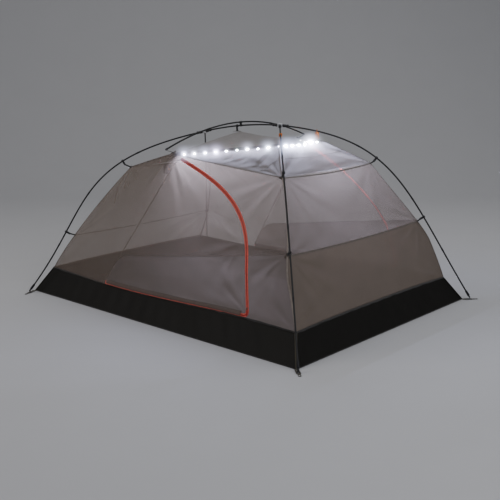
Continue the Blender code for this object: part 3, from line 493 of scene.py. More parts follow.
def webbing(name, colour, ribs, half=None, thread=None, rough=0.72):
    """Woven tape in UV metres: U along, V across. ribs is the rib period; a tape of the given
    half width has a row of stitches in the thread colour along each edge."""
    made, tree = start_material(name)
    coords = node(tree, "TexCoord")
    along, across = uv_axes(tree, coords)
    distance = calc(tree, "ABSOLUTE", across)
    rib = periodic(tree, plus(tree, along, times(tree, distance, 0.9)), ribs)
    warp = periodic(tree, across, ribs * 0.8)
    height = plus(tree, rib, times(tree, warp, 0.5))
    soft = noise(tree, coords.outputs["Object"], scale=90.0, detail=3.0)
    grain = plus(tree, soft, times(tree, rib, 0.12))
    base = scaled(tree, colour, to_range(tree, grain, 0.55, 1.5))
    if thread:
        from_row = calc(tree, "ABSOLUTE", calc(tree, "SUBTRACT", distance, half * 0.66))
        row = calc(tree, "LESS_THAN", from_row, 0.00045)
        phase = calc(tree, "FRACT", calc(tree, "DIVIDE", along, 0.0042))
        stitch = times(tree, row, calc(tree, "LESS_THAN", phase, 0.68))
        base = mix_colour(tree, stitch, base, thread)
        height = plus(tree, height, times(tree, stitch, 2.5))
    shader = node(tree, "BsdfPrincipled", {
        "Base Color": base, "Roughness": rough, "Normal": bump_map(tree, 0.5, 0.0004, height),
        "Sheen Weight": 0.3, "Specular IOR Level": 0.3,
    }).outputs[0]
    return finish_material(made, shader, colour)


def hard(name, colour, *, rough, metallic=0.0, grain=400.0, variation=0.15, bump=0.12,
         scratches=0.0, edge=0.0, coat=0.0, stretch=(1, 1, 1)):
    """Moulded plastic or metal: fine grain, varied roughness, worn edges from the pointiness."""
    made, tree = start_material(name)
    place = node(tree, "TexCoord").outputs["Object"]
    stretched = node(tree, "Mapping", {"Vector": place, "Scale": stretch}).outputs[0]
    fine = noise(tree, stretched, scale=grain, detail=3.0, roughness=0.6)
    broad = noise(tree, place, scale=18.0, detail=4.0, roughness=0.65)
    base = scaled(tree, colour, to_range(tree, broad, 1 - variation, 1 + variation))
    if edge:
        point = node(tree, "NewGeometry").outputs["Pointiness"]
        limits = {"Value": point, "From Min": 0.52, "From Max": 0.60}
        worn = node(tree, "MapRange", limits).outputs[0]
        worn = times(tree, worn, times(tree, broad, edge * 1.6), clamp=True)
        bare = tuple(min(1.0, channel * 2.4 + 0.10) for channel in colour)
        base = mix_colour(tree, worn, base, bare)
    mottle = plus(tree, times(tree, fine, 0.4), times(tree, broad, 0.6))
    height = fine
    if scratches:
        wave = node(tree, "TexWave", {
            "Vector": place, "Scale": 60.0, "Distortion": 14.0, "Detail": 3.0, "Detail Scale": 2.0,
        }).outputs[1]
        height = plus(tree, fine, times(tree, wave, scratches))
    shader = node(tree, "BsdfPrincipled", {
        "Base Color": base, "Roughness": to_range(tree, mottle, rough - 0.10, rough + 0.12),
        "Metallic": metallic, "Normal": bump_map(tree, bump, 0.0003, height), "Coat Weight": coat,
    }).outputs[0]
    return finish_material(made, shader, colour)


def glowing(name, colour, *, strength, seen):
    """A light source that looks brighter to the camera (seen) than the light it gives."""
    made, tree = start_material(name)
    path = node(tree, "LightPath")
    camera_ray = path.outputs["Is Camera Ray"]
    through = times(tree, camera_ray, path.outputs["Transparent Depth"])
    direct = calc(tree, "MAXIMUM", camera_ray, through)
    dots = noise(tree, node(tree, "TexCoord").outputs["Object"], scale=600.0)
    flare = times(tree, plus(tree, 0.8, times(tree, dots, 0.4)), seen)
    power = plus(tree, strength, times(tree, direct, flare))
    glow = node(tree, "Emission", {"Color": (*colour, 1), "Strength": power}).outputs[0]
    return finish_material(made, glow, colour)


MESH = dict(rough=0.85, sheen=0.12, translucent=0.42, weave=0.0011, variation=0.06, bump=0.02)
RIPSTOP = dict(weave=0.0005, ripstop=0.0055)

NETTING = fabric("mesh_netting", (0.395, 0.318, 0.270), opacity=0.52, **MESH)
# A darker copy of the netting for the head wall: painted shade for the head side of the tent.
NETTING_SHADED_END = fabric("mesh_netting_end", (0.350, 0.292, 0.262), opacity=0.60, **MESH)
LOWER = fabric(
    "lower_panel", (0.330, 0.278, 0.246), opacity=0.90, rough=0.7, sheen=0.15,
    translucent=0.56, variation=0.07, bump=0.10, **RIPSTOP)
# A darker copy of the lower panel for the head wall: painted shade for the head side of the tent.
LOWER_SHADED_END = fabric(
    "lower_panel_end", (0.250, 0.200, 0.162), opacity=0.94, rough=0.7, sheen=0.12,
    translucent=0.30, variation=0.08, bump=0.10, **RIPSTOP)
CEILING = fabric(
    "ceiling_cloth", (0.500, 0.474, 0.470), opacity=0.94, rough=0.66, sheen=0.15,
    translucent=0.35, variation=0.07, bump=0.10, **RIPSTOP)
LIT_PANEL = fabric(
    "corner_panel", (0.455, 0.425, 0.420), opacity=0.66, rough=0.8, sheen=0.1,
    translucent=0.62, variation=0.06, bump=0.06, specular=0.12, **RIPSTOP)
TUB = fabric(
    "tub_cloth", (0.0072, 0.0062, 0.0047), rough=0.62, sheen=0.0, translucent=0.0,
    weave=0.0005, ripstop=0.0050, variation=0.16, coat=0.03, bump=0.30, specular=0.22)
BINDING = webbing(
    "seam_binding", (0.020, 0.017, 0.015), half=0.0055, ribs=0.0012, thread=(0.05, 0.045, 0.04))
BINDING_BROWN = webbing(
    "seam_binding_brown", (0.130, 0.102, 0.082), half=0.0055, ribs=0.0012,
    thread=(0.17, 0.14, 0.115))
SOFT_BINDING = webbing(
    "soft_binding", (0.300, 0.248, 0.215), half=0.0035, ribs=0.0012, thread=(0.34, 0.29, 0.25))
EAVE_BINDING = webbing(
    "eave_binding", (0.235, 0.205, 0.188), half=0.0040, ribs=0.0012, thread=(0.28, 0.25, 0.23))
DARK_WEB = webbing(
    "dark_webbing", (0.014, 0.014, 0.015), half=0.006, ribs=0.0018, thread=(0.10, 0.10, 0.10))
OLIVE_WEB = webbing(
    "olive_webbing", (0.050, 0.042, 0.026), half=0.0095, ribs=0.0022, thread=(0.12, 0.105, 0.07))
ORANGE_WEB = webbing(
    "orange_webbing", (0.86, 0.25, 0.030), half=0.012, ribs=0.0022, thread=(0.9, 0.45, 0.15))
ZIP_TAPE = webbing(
    "zip_tape", (0.80, 0.135, 0.095), half=ZIP_HALF, ribs=0.0010, thread=(0.66, 0.30, 0.24),
    rough=0.65)
ZIP_TEETH = hard("zip_teeth", (0.46, 0.022, 0.020), rough=0.36, bump=0.05, variation=0.10)
POLE = hard(
    "pole_black", (0.0060, 0.0058, 0.0060), rough=0.45, grain=700.0, stretch=(1, 1, 0.15),
    bump=0.06, scratches=0.25, edge=0.2)
FERRULE = hard(
    "ferrule", (0.020, 0.020, 0.022), rough=0.34, metallic=0.6, grain=500.0, bump=0.08,
    scratches=0.3)
FOOT_ALLOY = hard(
    "foot_alloy", (0.030, 0.030, 0.033), rough=0.36, metallic=0.7, grain=450.0, bump=0.10,
    scratches=0.3, edge=0.8)
HUB = hard(
    "hub_silver", (0.72, 0.73, 0.76), rough=0.34, metallic=0.75, grain=350.0, bump=0.10,
    scratches=0.2, edge=0.3)
RUBBER = hard("rubber_black", (0.018, 0.018, 0.019), rough=0.62, bump=0.25, grain=500.0, edge=0.3)
CLIP = hard("clip_plastic", (0.014, 0.014, 0.016), rough=0.42, bump=0.18, grain=450.0, edge=0.5)
CASE = hard(
    "case_plastic", (0.030, 0.031, 0.034), rough=0.42, bump=0.16, grain=520.0, edge=0.35,
    variation=0.07)
BUTTON = hard("button_orange", (0.80, 0.24, 0.04), rough=0.45, bump=0.15, grain=420.0)
CELL = hard(
    "cell_steel", (0.55, 0.55, 0.57), rough=0.28, metallic=0.9, bump=0.05, scratches=0.25)
CELL_WRAP = hard("cell_wrap", (0.10, 0.16, 0.20), rough=0.32, bump=0.04, coat=0.4)
STEEL = hard(
    "slider_metal", (0.30, 0.17, 0.14), rough=0.34, metallic=0.75, bump=0.08, scratches=0.3,
    edge=0.3)
TAPE = hard("light_tape", (0.66, 0.68, 0.72), rough=0.5, bump=0.12, grain=500.0)
LENS = glowing("led_lens", (0.80, 0.88, 1.0), strength=2.0, seen=11000.0)
CORD = webbing("cord", (0.035, 0.033, 0.032), ribs=0.0009)

# ---------------------------------------------------------------- mesh helpers
# A shape is (verts, faces) or (verts, faces, uvs), with one (u, v) in metres per vertex.
pieces = bpy.data.collections.new("tent")
SCENE.collection.children.link(pieces)


def mesh_piece(name, shape, mats, slot, body="root", replaces=None, indices=None,
               smooth_angle=40.0):
    """A piece of the tent. indices gives each face's material; with a body of None it is attached to
    no body.
    """
    verts, faces, uvs = shape
    mesh = bpy.data.meshes.new(name)
    mesh.from_pydata([tuple(v) for v in verts], [], [tuple(f) for f in faces])
    for material in mats:
        mesh.materials.append(material)
    if indices is not None:
        mesh.polygons.foreach_set("material_index", np.asarray(indices, np.int32))
    layer = mesh.uv_layers.new(name="UVMap")
    loops = np.empty(len(mesh.loops), np.int32)
    mesh.loops.foreach_get("vertex_index", loops)
    layer.data.foreach_set("uv", np.asarray(uvs, np.float32)[loops].ravel())
    mesh.shade_smooth()
    if smooth_angle < 180:
        mesh.set_sharp_from_angle(angle=math.radians(smooth_angle))
    mesh.validate()
    obj = bpy.data.objects.new(name, mesh)
    pieces.objects.link(obj)
    if body is not None:
        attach(obj, body)
    if replaces:
        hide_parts(replaces)
    return obj


def thicken(obj, thickness):
    solid = obj.modifiers.new("thickness", "SOLIDIFY")
    solid.thickness = thickness
    solid.offset = 0.0
    solid.use_even_offset = False


def face_outwards(mesh):
    work = bmesh.new()
    work.from_mesh(mesh)
    bmesh.ops.recalc_face_normals(work, faces=work.faces)
    work.to_mesh(mesh)
    work.free()


def moved(verts, matrix):
    return [matrix @ Vector(v) for v in verts]


class Build:
    """Collects closed shells into one mesh."""

    def __init__(self):
        self.verts, self.faces, self.uvs, self.mats = [], [], [], []

    def add(self, shape, mat=0, place=None):
        verts, faces, *uvs = shape
        if place is not None:
            verts = moved(verts, place)
        base = len(self.verts)
        self.verts += [tuple(v) for v in verts]
        self.faces += [tuple(base + i for i in f) for f in faces]
        self.mats += [mat] * len(faces)
        if uvs:
            self.uvs += list(uvs[0])
        else:
            self.uvs += [(v[0] + v[1] * 0.3, v[2] + v[1] * 0.2) for v in verts]
        return self

    def piece(self, name, mats, slot, **more):
        shape = (self.verts, self.faces, self.uvs)
        return mesh_piece(name, shape, mats, slot, indices=self.mats, **more)


def frames_along(points, up=None):
    """Points, normals and sides along a line. Normals follow up, which is one vector or a list
    with one per point; without it they turn as little as they can."""
    points = [Vector(p) for p in points]
    last = len(points) - 1
    tangents = [(points[min(last, i + 1)] - points[max(0, i - 1)]).normalized()
                for i in range(last + 1)]
    normals = []
    for i, tangent in enumerate(tangents):
        if up is None and i == 0:
            normals.append(tangent.orthogonal().normalized())
            continue
        if up is None:
            hint = normals[-1]
        else:
            hint = Vector(up[i]) if isinstance(up, list) else Vector(up)
        normals.append((hint - tangent * hint.dot(tangent)).normalized())
    sides = [tangent.cross(normal) for tangent, normal in zip(tangents, normals)]
    return points, normals, sides


def sweep(points, section, up=None, scale=None):
    """Sweeps a closed section of (side, normal) points along a line; scale is one per point."""
    points, normals, sides = frames_along(points, up)
    count = len(section)
    verts, uvs, faces = [], [], []
    travelled = 0.0
    for i, point in enumerate(points):
        if i:
            travelled += (point - points[i - 1]).length
        size = 1.0 if scale is None else scale[i]
        for beside, above in section:
            verts.append(point + sides[i] * beside * size + normals[i] * above * size)
            uvs.append((travelled, beside))
    for i in range(len(points) - 1):
        for j in range(count):
            here, beyond = i * count + j, i * count + (j + 1) % count
            faces.append((here, beyond, beyond + count, here + count))
    faces.append(tuple(reversed(range(count))))
    last = (len(points) - 1) * count
    faces.append(tuple(range(last, last + count)))
    return verts, faces, uvs


def tube(points, radius, sides, scale=None):
    angles = [2 * PI * i / sides for i in range(sides)]
    section = [(radius * math.cos(angle), radius * math.sin(angle)) for angle in angles]
    return sweep(points, section, scale=scale)


def flat_section(width, thick, crown=0.15):
    """A tape's cross-section, rounded at its edges, lying on its underside."""
    half, nick = width / 2, thick * 0.3
    return [(-half, thick * 0.35), (-half + nick, 0.0), (half - nick, 0.0), (half, thick * 0.35),
            (half, thick * 0.7), (half - thick * 0.5, thick), (0.0, thick * (1 + crown)),
            (-half + thick * 0.5, thick), (-half, thick * 0.7)]


def strip(name, points, normals, width, thick, material, lift, body="root"):
    """A sewn tape that lies on a surface along a line."""
    lifted = [Vector(p) + Vector(n).normalized() * lift for p, n in zip(points, normals)]
    shape = sweep(lifted, flat_section(width, thick), up=[Vector(n) for n in normals])
    return mesh_piece(name, shape, [material], "webbing", body=body, smooth_angle=50.0)


def circle_at(radius, z, sides):
    return [(radius * math.cos(2 * PI * i / sides), radius * math.sin(2 * PI * i / sides), z)
            for i in range(sides)]


def lathe(profile, sides=28):
    """A closed turned shape from (radius, height) points that start and end on the axis."""
    verts, faces, rings = [], [], []
    for radius, z in profile:
        ring = [(0.0, 0.0, z)] if radius < 1e-7 else circle_at(radius, z, sides)
        rings.append(list(range(len(verts), len(verts) + len(ring))))
        verts += ring
    for low, high in zip(rings, rings[1:]):
        for i in range(sides):
            j = (i + 1) % sides
            if len(low) == 1:
                faces.append((low[0], high[j], high[i]))
            elif len(high) == 1:
                faces.append((low[i], low[j], high[0]))
            else:
                faces.append((low[i], low[j], high[j], high[i]))
    return verts, faces


def turned_ring(profile, sides):
    """A ring from a closed profile of (radius, height) points."""
    verts, faces = [], []
    for radius, z in profile:
        verts += circle_at(radius, z, sides)
    for k in range(len(profile)):
        following = (k + 1) % len(profile) * sides
        for i in range(sides):
            j = (i + 1) % sides
            faces.append((k * sides + i, k * sides + j, following + j, following + i))
    return verts, faces


def from_bmesh(work):
    """The shape in a bmesh, which is freed."""
    work.verts.index_update()
    verts = [v.co.copy() for v in work.verts]
    faces = [[v.index for v in f.verts] for f in work.faces]
    work.free()
    return verts, faces


def rounded_box(size, radius, centre=(0, 0, 0), segments=2):
    work = bmesh.new()
    bmesh.ops.create_cube(work, size=1.0)
    bmesh.ops.scale(work, vec=Vector(size), verts=work.verts)
    bmesh.ops.bevel(work, geom=list(work.edges), offset=radius, segments=segments, profile=0.5,
                    affect="EDGES")
    bmesh.ops.translate(work, vec=Vector(centre), verts=work.verts)
    return from_bmesh(work)


def plate(loops, half, bevel, resolution=2):
    """A flat plate with rounded edges from closed outlines in XY; inner loops are holes."""
    curve = bpy.data.curves.new("plate", "CURVE")
    curve.dimensions = "2D"
    curve.fill_mode = "BOTH"
    curve.extrude = half - bevel
    curve.bevel_depth = bevel
    curve.bevel_resolution = resolution
    curve.offset = -bevel
    for loop in loops:
        spline = curve.splines.new("POLY")
        spline.points.add(len(loop) - 1)
        for slot, point in zip(spline.points, loop):
            slot.co = (point[0], point[1], 0.0, 1.0)
        spline.use_cyclic_u = True
    obj = bpy.data.objects.new("plate", curve)
    SCENE.collection.objects.link(obj)
    bpy.context.view_layer.update()
    evaluated = obj.evaluated_get(bpy.context.evaluated_depsgraph_get())
    mesh = bpy.data.meshes.new_from_object(evaluated)
    work = bmesh.new()
    work.from_mesh(mesh)
    bmesh.ops.remove_doubles(work, verts=work.verts, dist=2e-6)
    bmesh.ops.recalc_face_normals(work, faces=work.faces)
    bpy.data.objects.remove(obj, do_unlink=True)
    bpy.data.meshes.remove(mesh)
    bpy.data.curves.remove(curve)
    return from_bmesh(work)


def flat_mapped(shape):
    """A plate whose UVs are its own XY."""
    verts, faces = shape
    return verts, faces, [(v.x, v.y) for v in verts]


# ---------------------------------------------------------------- tension wrinkles
def travel(line):
    """Distance travelled at each point of a line."""
    return np.concatenate([[0], np.cumsum(np.linalg.norm(np.diff(line, axis=0), axis=1))])


def nearest(points, border):
    """Distance to a border line and the distance travelled along it, for each point."""
    points = np.asarray(points, float)
    line = np.asarray(border, float)
    travelled = travel(line)
    best = np.full(len(points), 1e9)
    where = np.zeros(len(points))
    for start in range(0, len(points), 2000):
        chunk = points[start:start + 2000]
        gap = np.linalg.norm(chunk[:, None, :] - line[None, :, :], axis=2)
        index = gap.argmin(1)
        best[start:start + 2000] = gap[np.arange(len(chunk)), index]
        where[start:start + 2000] = travelled[index]
    return best, where


def resample(points, step):
    points = np.asarray([tuple(p) for p in points], float)
    travelled = travel(points)
    count = max(2, int(travelled[-1] / step) + 1)
    stops = np.linspace(0, travelled[-1], count)
    return np.stack([np.interp(stops, travelled, points[:, k])
                     for k in range(points.shape[1])], 1)


FOLD_SHARE = 0.68  # the cloth is stretched well, so its folds are shallow
ROLLING = 0.0015
PUCKER_WIDTH = 0.014


def eased(values):
    return values * values * (3 - 2 * values)


def wrinkle_height(points, normals, fans, borders, seed, sag=0.004, pucker=0.0008):
    """Height of the fabric above its smooth surface: fans of folds, puckers along each border
    and a slight sag. A fan is (position, direction, height, folds, reach, turn)."""
    spots = np.asarray(points, float)
    normals = np.asarray(normals, float)
    total = np.zeros(len(spots))
    edge = np.full(len(spots), 1e9)
    for k, border in enumerate(borders):
        gap, travelled = nearest(spots, resample(border, 0.006))
        edge = np.minimum(edge, gap)
        phase = travelled / (0.021 + 0.004 * np.sin(travelled * 7.0 + k)) + k + seed
        swell = (gap / PUCKER_WIDTH) * np.exp(1 - gap / PUCKER_WIDTH)
        total += pucker * swell * np.sin(2 * PI * phase)
    for position, direction, height, folds, reach, turn in fans:
        away = spots - np.asarray(position, float)
        distance = np.linalg.norm(away, axis=1) + 1e-9
        ahead = np.asarray(direction, float)
        ahead = ahead / np.linalg.norm(ahead)
        beside = np.cross(normals, ahead)
        angle = np.arctan2((away * beside).sum(1), (away * ahead).sum(1))
        spread = np.exp(-((angle / 1.25) ** 4))
        wave = (np.cos(folds * angle + turn + 1.5 * np.sin(distance * 9 + turn))
                + 0.4 * np.cos(folds * 1.9 * angle + 2 * turn))
        swell = (distance / reach) * np.exp(1 - distance / reach)
        total += FOLD_SHARE * height * swell * wave * spread
    hold = eased(np.clip(edge / 0.030, 0, 1))
    total *= 0.15 + 0.85 * hold
    total -= sag * eased(np.clip(edge / 0.22, 0, 1))
    x, y, z = spots.T
    total += ROLLING * hold * np.sin(x * 11 + seed * 3) * np.sin(z * 13 + y * 9 + seed)
    return total * np.clip(edge / 0.004, 0, 1)


def both_sides(fans):
    """Fans given for one side, repeated on the -Y and the +Y side."""
    made = []
    for sign in (-1, 1):
        for (x, y, z), ahead, height, folds, reach, turn in fans:
            direction = (ahead[0], ahead[1] * sign, ahead[2])
            made.append(((x, y * sign, z), direction, height, folds, reach, turn + sign))
    return made


def inside(points, loop):
    """Which 2-D points lie inside a closed loop."""
    points = np.asarray(points, float)
    loop = np.asarray(loop, float)
    result = np.zeros(len(points), bool)
    x, z = points[:, 0], points[:, 1]
    for (start_x, start_z), (end_x, end_z) in zip(loop, np.roll(loop, -1, axis=0)):
        crosses = (start_z > z) != (end_z > z)
        with np.errstate(divide="ignore", invalid="ignore"):
            cross_x = (end_x - start_x) * (z - start_z) / (end_z - start_z) + start_x
        result ^= crosses & (x < cross_x)
    return result


def triangulated(outer, holes, line, spacing):
    """A fine triangle mesh of a flat region, with its holes open and a line kept as edges.
    Returns the vertices, the faces and the faces' centres."""
    coords, edges = [], []

    def add_line(points, closed):
        base = len(coords)
        coords.extend((float(x), float(z)) for x, z in points)
        count = len(points)
        edges.extend((base + i, base + (i + 1) % count)
                     for i in range(count if closed else count - 1))

    def in_cloth(points):
        keep = inside(points, outer)
        for hole in holes:
            keep &= ~inside(points, hole)
        return keep

    for loop in (outer, *holes):
        add_line(loop, True)
    add_line(line, False)
    border = np.asarray(coords)
    low, high = border.min(0), border.max(0)
    rows = int((high[1] - low[1]) / (spacing * 0.866)) + 1
    inner = []
    for j in range(rows + 1):
        z = low[1] + j * spacing * 0.866
        offset = 0.5 * spacing if j % 2 else 0.0
        inner += [(x, z) for x in np.arange(low[0] + offset, high[0], spacing)]
    inner = np.asarray(inner)
    inner = inner[in_cloth(inner)]
    gap = np.full(len(inner), 1e9)
    for drawn in [list(loop) + [loop[0]] for loop in (outer, *holes)] + [line]:
        gap = np.minimum(gap, nearest(inner, resample(drawn, spacing * 0.5))[0])
    inner = inner[gap > spacing * 0.55]
    coords += [tuple(p) for p in inner.tolist()]
    verts, _, faces, *_ = delaunay_2d_cdt([Vector(c) for c in coords], edges, [], 0, 1e-7)
    verts = np.asarray([tuple(v) for v in verts])
    faces = np.asarray([tuple(f) for f in faces if len(f) == 3])
    centres = verts[faces].mean(1)
    keep = in_cloth(centres)
    faces, centres = faces[keep], centres[keep]
    used = np.unique(faces)
    index = np.full(len(verts), -1)
    index[used] = np.arange(len(used))
    return verts[used], index[faces], centres


# ---------------------------------------------------------------- the long walls and their doors
CLOTH_THICK = 0.0006
CLOTH_SPACING = 0.011  # size of the triangles


def wall_normal(x, z, side):
    step = 0.002
    along = on_wall((x + step, z), side) - on_wall((x - step, z), side)
    upward = on_wall((x, z + step), side) - on_wall((x, z - step), side)
    normal = along.cross(upward).normalized()
    return normal if normal.y * side < 0 else -normal


def lower_line(x):
    """Height of the seam between the mesh and the solid lower panel of a long wall."""
    if x < -0.52:
        return 0.10
    if x > -0.27:
        return 0.389 + 0.149 * x
    share = (x + 0.52) / 0.25
    return lerp(0.170, 0.389 + 0.149 * -0.27, math.sin(share * PI / 2) ** 0.75)


def wall_outline(step=0.012):
    loop = []
    count = int(2 * TUB_HALF_LENGTH / step)
    for i in range(count + 1):
        x = lerp(-TUB_HALF_LENGTH, TUB_HALF_LENGTH, i / count)
        loop.append((x, tub_top(x) + 0.0005))
    for i in range(1, 61):
        z = lerp(TUB_EDGE_Z, HEAD_UP[2], i / 60)
        loop.append((quadratic(z, HEAD_EDGE), z))
    for i in range(1, 121):
        x = lerp(HEAD_UP[0], FOOT_UP[0], i / 120)
        loop.append((x, eave(x)))
    for i in range(1, 60):
        z = lerp(FOOT_UP[2], TUB_EDGE_Z, i / 60)
        loop.append((quadratic(z, FOOT_EDGE), z))
    return loop


HINGE_LINE = [(lerp(HINGE_LOW[0], HINGE_TOP[0], i / 60), lerp(HINGE_LOW[1], HINGE_TOP[1], i / 60))
              for i in range(61)]


def door_loop(distance):
    """The door's outline: the zip line moved by distance, then up the sewn side."""
    arc = zip_offset(distance)
    foot = [(HINGE_LOW[0] - 0.004, arc[-1][1])] if distance > 0 else []
    return [HINGE_LINE[-1]] + arc[:-1] + foot + HINGE_LINE[:-1]


WALL_LOOP = wall_outline()
WALL_HOLE = door_loop(0.0045)
DOOR_LOOP = door_loop(-0.0045)


def apart(point, line, distance):
    return min(math.dist(point, other) for other in line) > distance


def crossing(loop, first, last):
    """The part of the panel seam between two x that lies in a region."""
    xs = [lerp(first, last, i / 400) for i in range(401)]
    line = np.asarray([(x, lower_line(x)) for x in xs])
    return [tuple(p) for p in line[inside(line, loop)]]


WALL_SEAM = [p for p in crossing(WALL_LOOP, 0.69, 1.06)
             if p[0] > 0.70 and not inside([p], WALL_HOLE)[0] and apart(p, WALL_HOLE, 0.002)]
DOOR_SEAM = [p for p in crossing(DOOR_LOOP, -0.515, 0.72) if apart(p, DOOR_LOOP, 0.002)]

# Fans of folds: start (x, z), a point they run towards (x, z), height, folds, reach, turn.
WALL_FANS = (
    (HEAD_EDGE[2], (0.45, 0.55), 0.0035, 12, 0.17, 0.3),
    (HEAD_EDGE[1], (0.4, 0.45), 0.0035, 11, 0.16, 1.1),
    (HEAD_EDGE[0], (0.6, 0.35), 0.0045, 10, 0.14, 2.0),
    (FOOT_EDGE[2], (-0.45, 0.5), 0.0060, 12, 0.16, 0.9),
    (FOOT_EDGE[1], (-0.4, 0.4), 0.0050, 11, 0.15, 2.3),
    (FOOT_EDGE[0], (-0.7, 0.35), 0.0040, 9, 0.13, 0.5),
    ((0.0, DOOR_CORNER_Z), (-0.05, 0.5), 0.0045, 12, 0.14, 1.6),
)
DOOR_FANS = WALL_FANS + (
    ((0.60, 0.55), (0.1, 0.4), 0.0030, 9, 0.15, 0.7),
    ((0.70, 0.18), (0.2, 0.4), 0.0045, 10, 0.15, 1.9),
    ((-0.49, 0.18), (0.0, 0.4), 0.0035, 8, 0.16, 2.9),
)


def wall_fans(table, side):
    return [(tuple(on_wall(start, side)), tuple(on_wall(target, side) - on_wall(start, side)), *rest)
            for start, target, *rest in table]


def surface_line(line, side):
    return [on_wall(p, side) for p in line], [wall_normal(p[0], p[1], side) for p in line]


def wall_cloth(name, cad_node, side, loops, seam, solid_from, fans, seed, body):
    """A sheet of netting with a solid lower panel. loops is its outline, then its hole if it has
    one; faces below the seam are solid where x is above solid_from."""
    borders = [[on_wall(p, side) for p in loop + [loop[0]]] for loop in reversed(loops)]
    borders.append([on_wall(p, side) for p in seam])
    flat, faces, centres = triangulated(loops[0], loops[1:], seam, CLOTH_SPACING)
    solid = [1 if z < lower_line(x) and x > solid_from else 0 for x, z in centres]
    base, normals = surface_line(flat, side)
    heights = wrinkle_height(base, normals, wall_fans(fans, side), borders, seed)
    verts = [spot + normal * height for spot, normal, height in zip(base, normals, heights)]
    if side < 0:
        faces = faces[:, ::-1]
    sheet = mesh_piece(name, (verts, faces, flat), [NETTING, LOWER], "mesh_fabric", body=body,
                       replaces=cad_node, indices=solid, smooth_angle=180.0)
    thicken(sheet, CLOTH_THICK)
    drawn = [p for p in seam if apart(p, HINGE_LINE, 0.016)]
    strip(name + "_seam", *surface_line(drawn, side), 0.006, 0.0009, LOWER, lift=0.0003, body=body)


# Cross-section of a zip tape: share of its width, height above the fabric.
ZIP_SECTION = ((0.0, 0.0010), (0.08, 0.0016), (0.35, 0.0017), (0.65, 0.0017), (0.92, 0.0015),
               (1.0, 0.0008))


def zip_band(name, near, far, side, body, cad_node):
    """A zip tape between two offsets of the zip line, closed, lying just outside the fabric."""
    low, high = zip_offset(near), zip_offset(far)
    verts, uvs, faces = [], [], []
    travelled = 0.0
    width = abs(far - near)
    count = len(ZIP_SECTION)
    for i, (start, end) in enumerate(zip(low, high)):
        if i:
            travelled += math.dist(ZIP_POINTS[i], ZIP_POINTS[i - 1])
        for outer in (True, False):
            for share, lift in ZIP_SECTION:
                point = (lerp(start[0], end[0], share), lerp(start[1], end[1], share))
                ripple = 0.0003 * math.sin(travelled / 0.012) * share
                height = lift + ripple if outer else 0.0003
                verts.append(on_wall(point, side) + wall_normal(*point, side) * height)
                uvs.append((travelled, (share - 0.5) * width))
    stride = 2 * count
    for i in range(len(low) - 1):
        base, following = i * stride, (i + 1) * stride
        for j in range(count - 1):
            faces.append((base + j, base + j + 1, following + j + 1, following + j))
            faces.append((base + count + j + 1, base + count + j,
                          following + count + j, following + count + j + 1))
        faces.append((base, following, following + count, base + count))
        faces.append((base + count - 1, base + 2 * count - 1,
                      following + 2 * count - 1, following + count - 1))
    faces.append(tuple(range(count)) + tuple(reversed(range(count, stride))))
    last = (len(low) - 1) * stride
    faces.append(tuple(reversed([last + i for i in range(count)]))
                 + tuple(last + count + i for i in range(count)))
    band = mesh_piece(name, (verts, faces, uvs), [ZIP_TAPE], "zip", body=body, replaces=cad_node,
                      smooth_angle=60.0)
    face_outwards(band.data)


TOOTH_PITCH = 0.0034
TOOTH_HALF = 0.0009
# Outline of a tooth: across the zip, along the zip.
TOOTH_OUTLINE = (
    (-0.0002, -TOOTH_HALF), (0.0012, -TOOTH_HALF * 1.25), (0.0036, -TOOTH_HALF),
    (0.0036, TOOTH_HALF), (0.0012, TOOTH_HALF * 1.25), (-0.0002, TOOTH_HALF),
)
TOOTH_LEVELS = ((0.0008, 1.0), (0.0024, 0.95), (0.0030, 0.6))  # height, scale


def zip_teeth(name, side, sign, body):
    """Moulded teeth on one side of the zip, meeting those of the other side."""
    line = resample(ZIP_POINTS, 0.0009)
    travelled = travel(line)

    def zip_at(distance):
        return tuple(np.interp(distance, travelled, line[:, k]) for k in (0, 1))

    build = Build()
    for k in range(int((travelled[-1] - 0.012) / TOOTH_PITCH)):
        distance = 0.006 + (k + (0.5 if sign > 0 else 0.0)) * TOOTH_PITCH
        x, z = zip_at(distance)
        next_x, next_z = zip_at(distance + 0.001)
        normal = wall_normal(x, z, side)
        base = on_wall((x, z), side)
        along = (on_wall((next_x, next_z), side) - base).normalized()
        across = along.cross(normal)
        if (on_wall((x - (next_z - z), z + (next_x - x)), side) - base).dot(across) < 0:
            across = -across
        across = across * sign
        verts = []
        for height, size in TOOTH_LEVELS:
            verts += [base + across * (reach * (size if reach > 0.002 else 1.0))
                      + along * (offset * size) + normal * height
                      for reach, offset in TOOTH_OUTLINE]
        faces = [tuple(reversed(range(6))), tuple(range(12, 18))]
        for level in (0, 6):
            for i in range(6):
                j = (i + 1) % 6
                faces.append((level + i, level + j, level + 6 + j, level + 6 + i))
        build.add((verts, faces))
    teeth = build.piece(name, [ZIP_TEETH], "zip", body=body, smooth_angle=30.0)
    face_outwards(teeth.data)


# Cross-section of a sill flap: height above the zip, distance out of the wall, 1 if it waves.
OUTER_FLAP = ((0.0200, 0.0005, 0), (0.0165, 0.0022, 1), (0.0120, 0.0050, 1),
              (0.0060, 0.0066, 1), (0.0000, 0.0068, 1), (-0.0045, 0.0060, 1))
INNER_FLAP = ((0.0220, -0.0010, 0), (0.0180, -0.0026, 1), (0.0120, -0.0042, 1),
              (0.0060, -0.0050, 1), (0.0000, -0.0050, 1), (-0.0060, -0.0044, 1))


